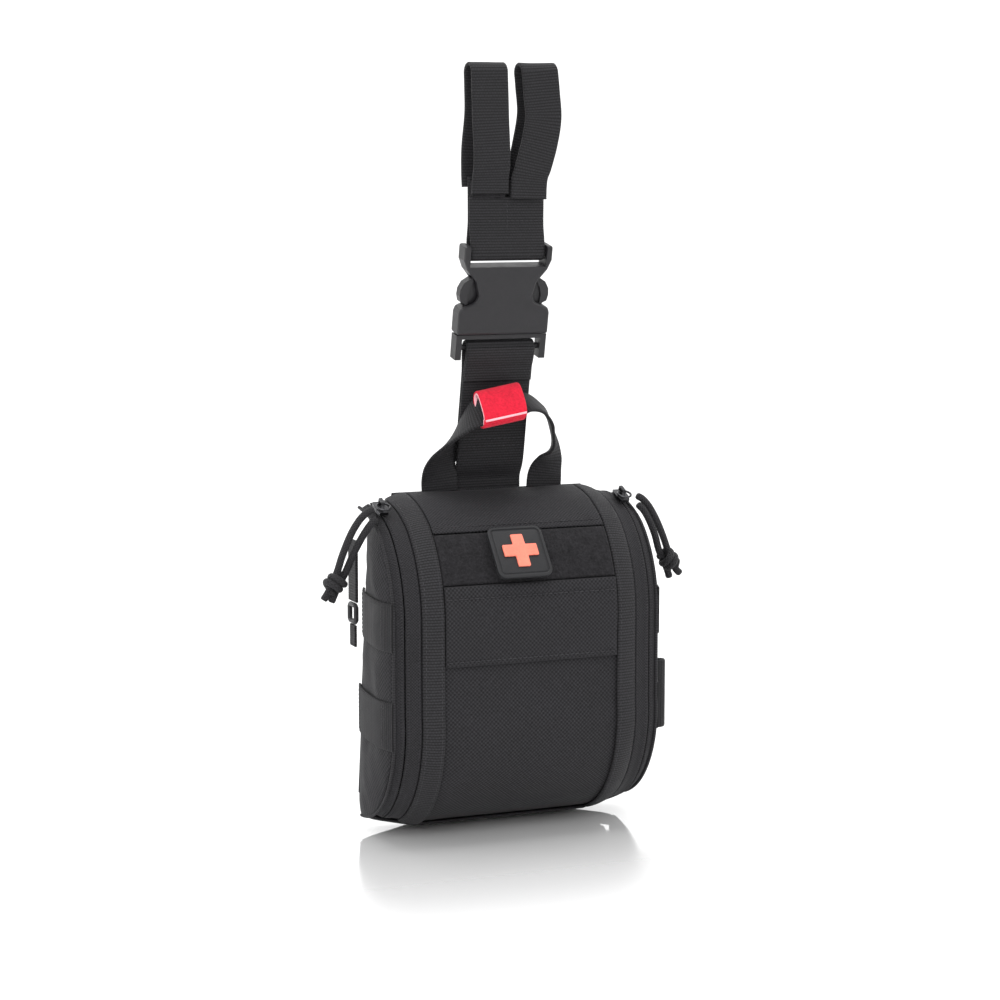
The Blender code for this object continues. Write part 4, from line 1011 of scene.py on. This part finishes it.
FORWARD = np.array((0.0, -math.cos(math.radians(SLIDER_ANGLE)), -math.sin(math.radians(SLIDER_ANGLE))))
STRANDS = {
    "left": {"a": [(-74.2, 0.8, 0.4), (-78.0, 0.6, -1.0), (-82.4, 0.3, -5.0), (-87.0, 0.0, -12.0), (-91.4, 0.0, -22.0),
                   (-94.2, 0.0, -30.2), (-97.0, -0.4, -36.5), (-99.8, -0.4, -41.4), (-102.0, -0.6, -44.6)],
             "b": [(-73.6, -1.8, -3.8), (-77.4, -2.0, -7.4), (-81.6, -1.8, -13.4), (-85.8, -0.8, -21.6),
                   (-89.6, 0.4, -30.8), (-93.2, 0.6, -37.0), (-95.8, 0.6, -42.4), (-97.4, 0.8, -46.2)]},
    "right": {"a": [(74.2, 0.8, 0.4), (77.6, 0.6, -1.6), (81.4, 0.3, -6.0), (85.6, 0.0, -13.4), (89.4, 0.0, -22.0),
                    (92.0, 0.0, -29.0), (94.6, -0.3, -35.4), (97.0, -0.4, -40.2), (99.6, -0.6, -42.8)],
              "b": [(73.6, -1.8, -3.8), (77.2, -2.0, -7.6), (80.8, -1.8, -13.8), (84.4, -0.8, -21.6),
                    (87.2, 0.4, -29.6), (90.4, 0.6, -36.0), (92.6, 0.6, -41.2), (93.8, 0.8, -44.8)]},
}
KNOT_CENTRES = {"left": np.array((-95.4, 0.0, -36.2)), "right": np.array((92.8, 0.0, -35.0))}


def build_pull(name, side):
    eye = pull_eye(side)
    turns = np.linspace(0.0, math.tau, 48, endpoint=False)[:, None]
    ring = eye + FORWARD * 3.5 + 3.5 * (np.array((1.0, 0.0, 0.0)) * np.cos(turns) + FORWARD * np.sin(turns))
    tube(f"ring_wire_{name}", ring, 0.6, "metal", closed=True, body=f"ring_{name}",
         replaces=(f"zip_ring_{name}",))
    pivot = eye + FORWARD * 7.0
    shift = np.array((0.0, pivot[1], pivot[2]))
    centre = KNOT_CENTRES[name] + shift
    axis = unit(np.array((side * 0.72, 0.0, -0.70)))
    aside = unit(np.cross(axis, (0.0, 1.0, 0.0)))
    deep = np.cross(axis, aside)
    spin = np.linspace(-0.6, 2.25, 100)
    reach = 3.7 * np.clip(np.minimum(spin + 0.6, 2.25 - spin) / 0.35, 0.35, 1.0)
    wrap = []
    for t, r in zip(spin, reach):
        around = aside * math.cos(math.tau * t) + deep * 1.1 * math.sin(math.tau * t)
        wrap.append(centre + axis * (3.5 * (t - 0.82)) + r * around)
    wrap = np.array(wrap)
    knot = tube(f"knot_{name}", wrap, 1.9, "paracord", sides=12, body=f"pull_{name}",
                replaces=(f"pull_knot_{name}",))
    for letter, route in STRANDS[name].items():
        path, run = resample(np.array(route) + shift, 0.7)
        radius = np.full(len(path), CORD_RADIUS)
        radius[-3:] = CORD_RADIUS * np.array((1.04, 1.0, 0.8))
        radius[:1] = CORD_RADIUS * 0.8
        strand = tube(f"strand_{name}_{letter}", path, radius, "paracord", sides=14, body=f"pull_{name}",
                      replaces=(f"pull_cord_{name}_{letter}",))


# ---------------------------------------------------------------- handle
HANDLE_STOPS = (        # place, then the direction of the webbing's width
    ((-27.6, 44.6, 163.5), (1.0, 0.0, 0.0)), ((-28.0, 44.2, 171.0), (1.0, 0.0, 0.0)),
    ((-28.4, 42.6, 178.0), (0.97, 0.24, 0.0)), ((-27.6, 39.4, 185.0), (0.85, 0.50, 0.08)),
    ((-25.4, 34.6, 193.0), (0.62, 0.72, 0.30)), ((-21.4, 28.6, 200.6), (0.36, 0.84, 0.40)),
    ((-16.4, 23.4, 207.0), (0.10, 0.86, 0.50)), ((-10.0, 20.6, 210.6), (0.0, 0.62, 0.78)),
    ((-3.2, 20.2, 211.8), (0.0, 0.60, 0.80)), ((4.0, 20.2, 213.2), (0.0, 0.72, 0.69)),
    ((11.0, 21.4, 213.8), (0.10, 0.92, 0.40)), ((20.0, 25.6, 211.0), (0.24, 0.96, 0.18)),
    ((28.4, 31.4, 204.0), (0.34, 0.94, 0.0)), ((33.4, 37.0, 195.0), (0.36, 0.93, -0.06)),
    ((35.4, 40.4, 187.6), (0.50, 0.86, -0.08)), ((34.4, 42.8, 180.0), (0.90, 0.42, -0.06)),
    ((32.4, 44.2, 172.0), (1.0, 0.06, 0.0)), ((31.8, 44.6, 163.5), (1.0, 0.0, 0.0)))
GRIP = np.array((-3.2, 20.2, 212.0))
GRIP_ALONG = np.array((0.986, 0.0, 0.168))
GRIP_DOWN = np.array((0.0, -0.60, -0.80))
GRIP_FACE = np.array((0.0, -0.80, 0.60))


def build_handle():
    points, wide = zip(*HANDLE_STOPS)
    wide = np.array(wide)
    for k in range(1, len(wide)):
        if np.dot(wide[k], wide[k - 1]) < 0:
            wide[k] = -wide[k]
    ribbon("handle_web", points, wide, HANDLE_WIDTH, 1.7, "webbing", (0.0, 44.0, 185.0), step=0.3,
           body="handle", replaces=("handle_webbing",))
    build_grip()


def grip_section(turn, over, shrink=0.0):
    """A place on the rolled sleeve's section: across its height and through its thickness."""
    high, thick = 10.3 + 0.7 * over - shrink, 4.9 + 1.0 * over - shrink
    u = np.sign(np.cos(turn)) * np.abs(np.cos(turn)) ** 0.85 * high
    v = np.sign(np.sin(turn)) * np.abs(np.sin(turn)) ** 0.85 * thick
    return u[:, None] * GRIP_DOWN + v[:, None] * GRIP_FACE


def build_grip():
    """A brushed sleeve rolled round the handle, with a hemmed free edge at the lower front."""
    degrees = np.linspace(20.0, 400.0, 84)
    over = np.clip((100.0 - degrees) / 60.0, 0.0, 1.0)
    x = spaced(-11.9, 11.9, 0.9)
    layers = ("grip_sleeve", 0.0, 0.9, "red_grip"), ("grip_lining", 0.95, 0.7, "red_lining")
    for name, shrink, thick, material in layers:
        section = grip_section(np.radians(degrees), over, shrink)
        grid = GRIP + x[None, :, None] * GRIP_ALONG + section[:, None, :]
        sway = 0.35 * np.sin(x / 5.0)[None, :, None] * GRIP_FACE * np.sin(np.radians(degrees))[:, None, None]
        grid = grid + sway
        run = np.concatenate([[0.0], np.cumsum(np.linalg.norm(np.diff(section, axis=0), axis=1))])
        uv = np.stack(np.broadcast_arrays(x[None, :], run[:, None]), -1)
        parts = {"replaces": ("handle_grip",)} if name == "grip_sleeve" else {}
        slab(name, grid, thick, uv, material, GRIP, body="handle", **parts)
    hem = grip_section(np.radians(np.array([37.0, 37.0])), np.ones(2), -0.62)[0]
    x = np.linspace(-11.5, 11.5, 40)
    line = GRIP + hem + x[:, None] * GRIP_ALONG
    tube("grip_hem", line, 0.62, "hem_thread", sides=8, body="handle")


# ---------------------------------------------------------------- thigh strap fittings
def build_thigh_fittings():
    y = POUCH_BACK + 0.4
    route = [(62.0, y + 0.8), (76.0, y + 0.8), (88.0, y - 0.6), (100.0, y - 1.6),
             (104.6, y - 0.4), (106.0, y + 2.0), (104.4, y + 4.2), (99.0, y + 4.6),
             (86.0, y + 4.2), (72.0, y + 3.2), (63.0, y + 3.0)]
    ribbon("thigh_loop_web", [(a, b, 46.0) for a, b in route], (0.0, 0.0, 1.0), 38.0, 1.5, "webbing",
           (95.0, y + 1.5, 46.0), body="thigh_loop", replaces=("thigh_loop_right",))
    x = TAB_X
    centre_y = POUCH_BACK + 6.9
    ribbon("thigh_tab_web", [(x, centre_y, z) for z in (141.0, 130.0, 119.0, 108.0)],
           (0.0, 1.0, 0.0), 12.4, 1.6, "webbing", (0.0, centre_y, 120.0),
           body="thigh_tab", replaces=("thigh_tab_left",))
    ribbon("thigh_stub_web", [(x, POUCH_BACK + 7.2, z) for z in (95.6, 92.0, 88.0, 84.0)],
           (0.0, 1.0, 0.0), 8.2, 1.4, "webbing", (0.0, centre_y, 90.0),
           body="thigh_tab", replaces=("thigh_web_left",))
    low_y, high_y, low_z, high_z = POUCH_BACK + 2.5, POUCH_BACK + 12.6, 97.3, 106.1
    corners = [(x, low_y, low_z), (x, high_y, low_z), (x, high_y, high_z), (x, low_y, high_z)]
    frame_path = []
    for one, two in zip(corners, corners[1:] + corners[:1]):
        frame_path += [np.array(one) + (np.array(two) - np.array(one)) * t for t in (0.12, 0.5, 0.88)]
    tube("thigh_ring_frame", np.array(frame_path), 1.35, "buckle_plastic", closed=True, body="thigh_tab",
         replaces=("thigh_ring_left",))


# ---------------------------------------------------------------- buckle, stage and camera
def build_latch_roots():
    """The recessed inner web of each latch, which closes the opening at the socket's waist."""
    for name, side in SIDES:
        outline = np.array([(19.9, -15.6), (20.9, -18.5), (21.2, -22.0), (20.4, -26.8),
                            (18.6, -28.6), (14.9, -27.6), (14.4, -21.0), (15.6, -15.0), (18.0, -14.0)])
        rings, flat = [], []
        for y, inset in ((1.5, 0.3), (1.2, 0.0), (-1.0, 0.0), (-1.3, 0.3)):
            middle = outline.mean(0)
            ring = outline + unit(middle - outline) * inset
            rings.append(np.array([(side * a, *to_pouch(y, b)) for a, b in ring]))
            flat.append(ring)
        ring_stack(f"latch_root_{name}", rings, flat, "buckle_plastic", smooth_angle=40, body=f"latch_{name}")


def finish_cad_nodes():
    """The hard pieces are shown as their CAD solids and only take a material."""
    looks = {"buckle_socket": "buckle_plastic", "buckle_plug": "buckle_plastic",
             "latch_arm_left": "buckle_plastic", "latch_arm_right": "buckle_plastic",
             "zip_slider_left": "metal", "zip_slider_right": "metal"}
    for node, key in looks.items():
        obj = frame["nodes"][node]
        for spot in obj.material_slots:
            spot.material = materials[key]
        if not obj.material_slots:
            obj.data.materials.append(materials[key])


def area_light(name, place, target, size, power, colour=(1.0, 1.0, 1.0)):
    data = bpy.data.lights.new(name, "AREA")
    data.shape = "RECTANGLE"
    data.size, data.size_y = size
    data.energy = power
    data.color = colour
    obj = bpy.data.objects.new(name, data)
    bpy.context.scene.collection.objects.link(obj)
    obj.location = place
    direction = Vector(target) - Vector(place)
    obj.rotation_euler = direction.to_track_quat("-Z", "Y").to_euler()


def build_stage():
    floor_z = back_low[2] - (BASE_SAG + 0.4) * MM
    mesh = bpy.data.meshes.new("floor")
    wide, front, back, rise = 3.0, -3.0, 1.6, 2.4
    profile = [(front, 0.0), (back - 0.8, 0.0)]
    profile += [(back - 0.8 + 0.8 * math.sin(t), 0.8 - 0.8 * math.cos(t))
                for t in np.linspace(0.1, math.pi / 2, 14)]
    profile.append((back, rise))
    verts = [(x, y, floor_z + z) for y, z in profile for x in (-wide, wide)]
    faces = [(2 * i, 2 * i + 1, 2 * i + 3, 2 * i + 2) for i in range(len(profile) - 1)]
    mesh.from_pydata(verts, [], faces)
    mesh.shade_smooth()
    g = Graph("floor_white", (0.95, 0.95, 0.95), 0.05, metallic=0.42, specular=0.5)
    split = g.nodes.new("ShaderNodeSeparateXYZ")
    g.links.new(g.place, split.inputs[0])
    nearer = g.math("MULTIPLY_ADD", split.outputs[1], -4.5, -0.05)
    g.roughness(g.math("MINIMUM", g.math("MAXIMUM", nearer, 0.0), 1.0), 0.05, 0.75)
    mesh.materials.append(g.mat)
    floor = bpy.data.objects.new("floor", mesh)
    bpy.context.scene.collection.objects.link(floor)
    middle = (0.0, 0.0, -0.2)
    area_light("key", (-1.3, -1.7, 1.2), middle, (1.4, 1.4), 24.0)
    area_light("fill", (1.6, -1.4, 0.5), middle, (1.2, 1.6), 11.0)
    area_light("top", (0.0, 0.1, 1.7), middle, (1.6, 1.2), 22.0)
    area_light("left_rim", (-1.5, 0.6, 0.2), middle, (0.6, 1.6), 6.0)
    area_light("right_rim", (1.5, 0.7, 0.2), middle, (0.6, 1.6), 6.0)
    world_data = bpy.data.worlds.new("studio")
    world_data.use_nodes = True
    background = world_data.node_tree.nodes["Background"]
    background.inputs[0].default_value = (1.0, 1.0, 1.0, 1.0)
    background.inputs[1].default_value = 0.95
    bpy.context.scene.world = world_data
    bpy.context.scene.view_settings.view_transform = "Standard"


def build_camera():
    data = bpy.data.cameras.new("camera")
    data.lens, data.sensor_width = 90.0, 36.0
    camera = bpy.data.objects.new("camera", data)
    bpy.context.scene.collection.objects.link(camera)
    yaw, pitch = math.radians(22.0), math.radians(7.5)
    direction = Vector((math.sin(yaw) * math.cos(pitch), math.cos(yaw) * math.cos(pitch), -math.sin(pitch)))
    camera.location = (-0.4887, -1.1977, -0.0290)
    camera.rotation_euler = direction.to_track_quat("-Z", "Y").to_euler()
    bpy.context.scene.camera = camera


build_camera()
make_materials()
for pull_name, pull_side in SIDES:
    build_pull(pull_name, pull_side)
build_cover()
build_zips()
build_gussets()
build_back()
build_hanger()
build_drop_strap()
build_patch()
build_handle()
build_thigh_fittings()
build_latch_roots()
finish_cad_nodes()
build_stage()
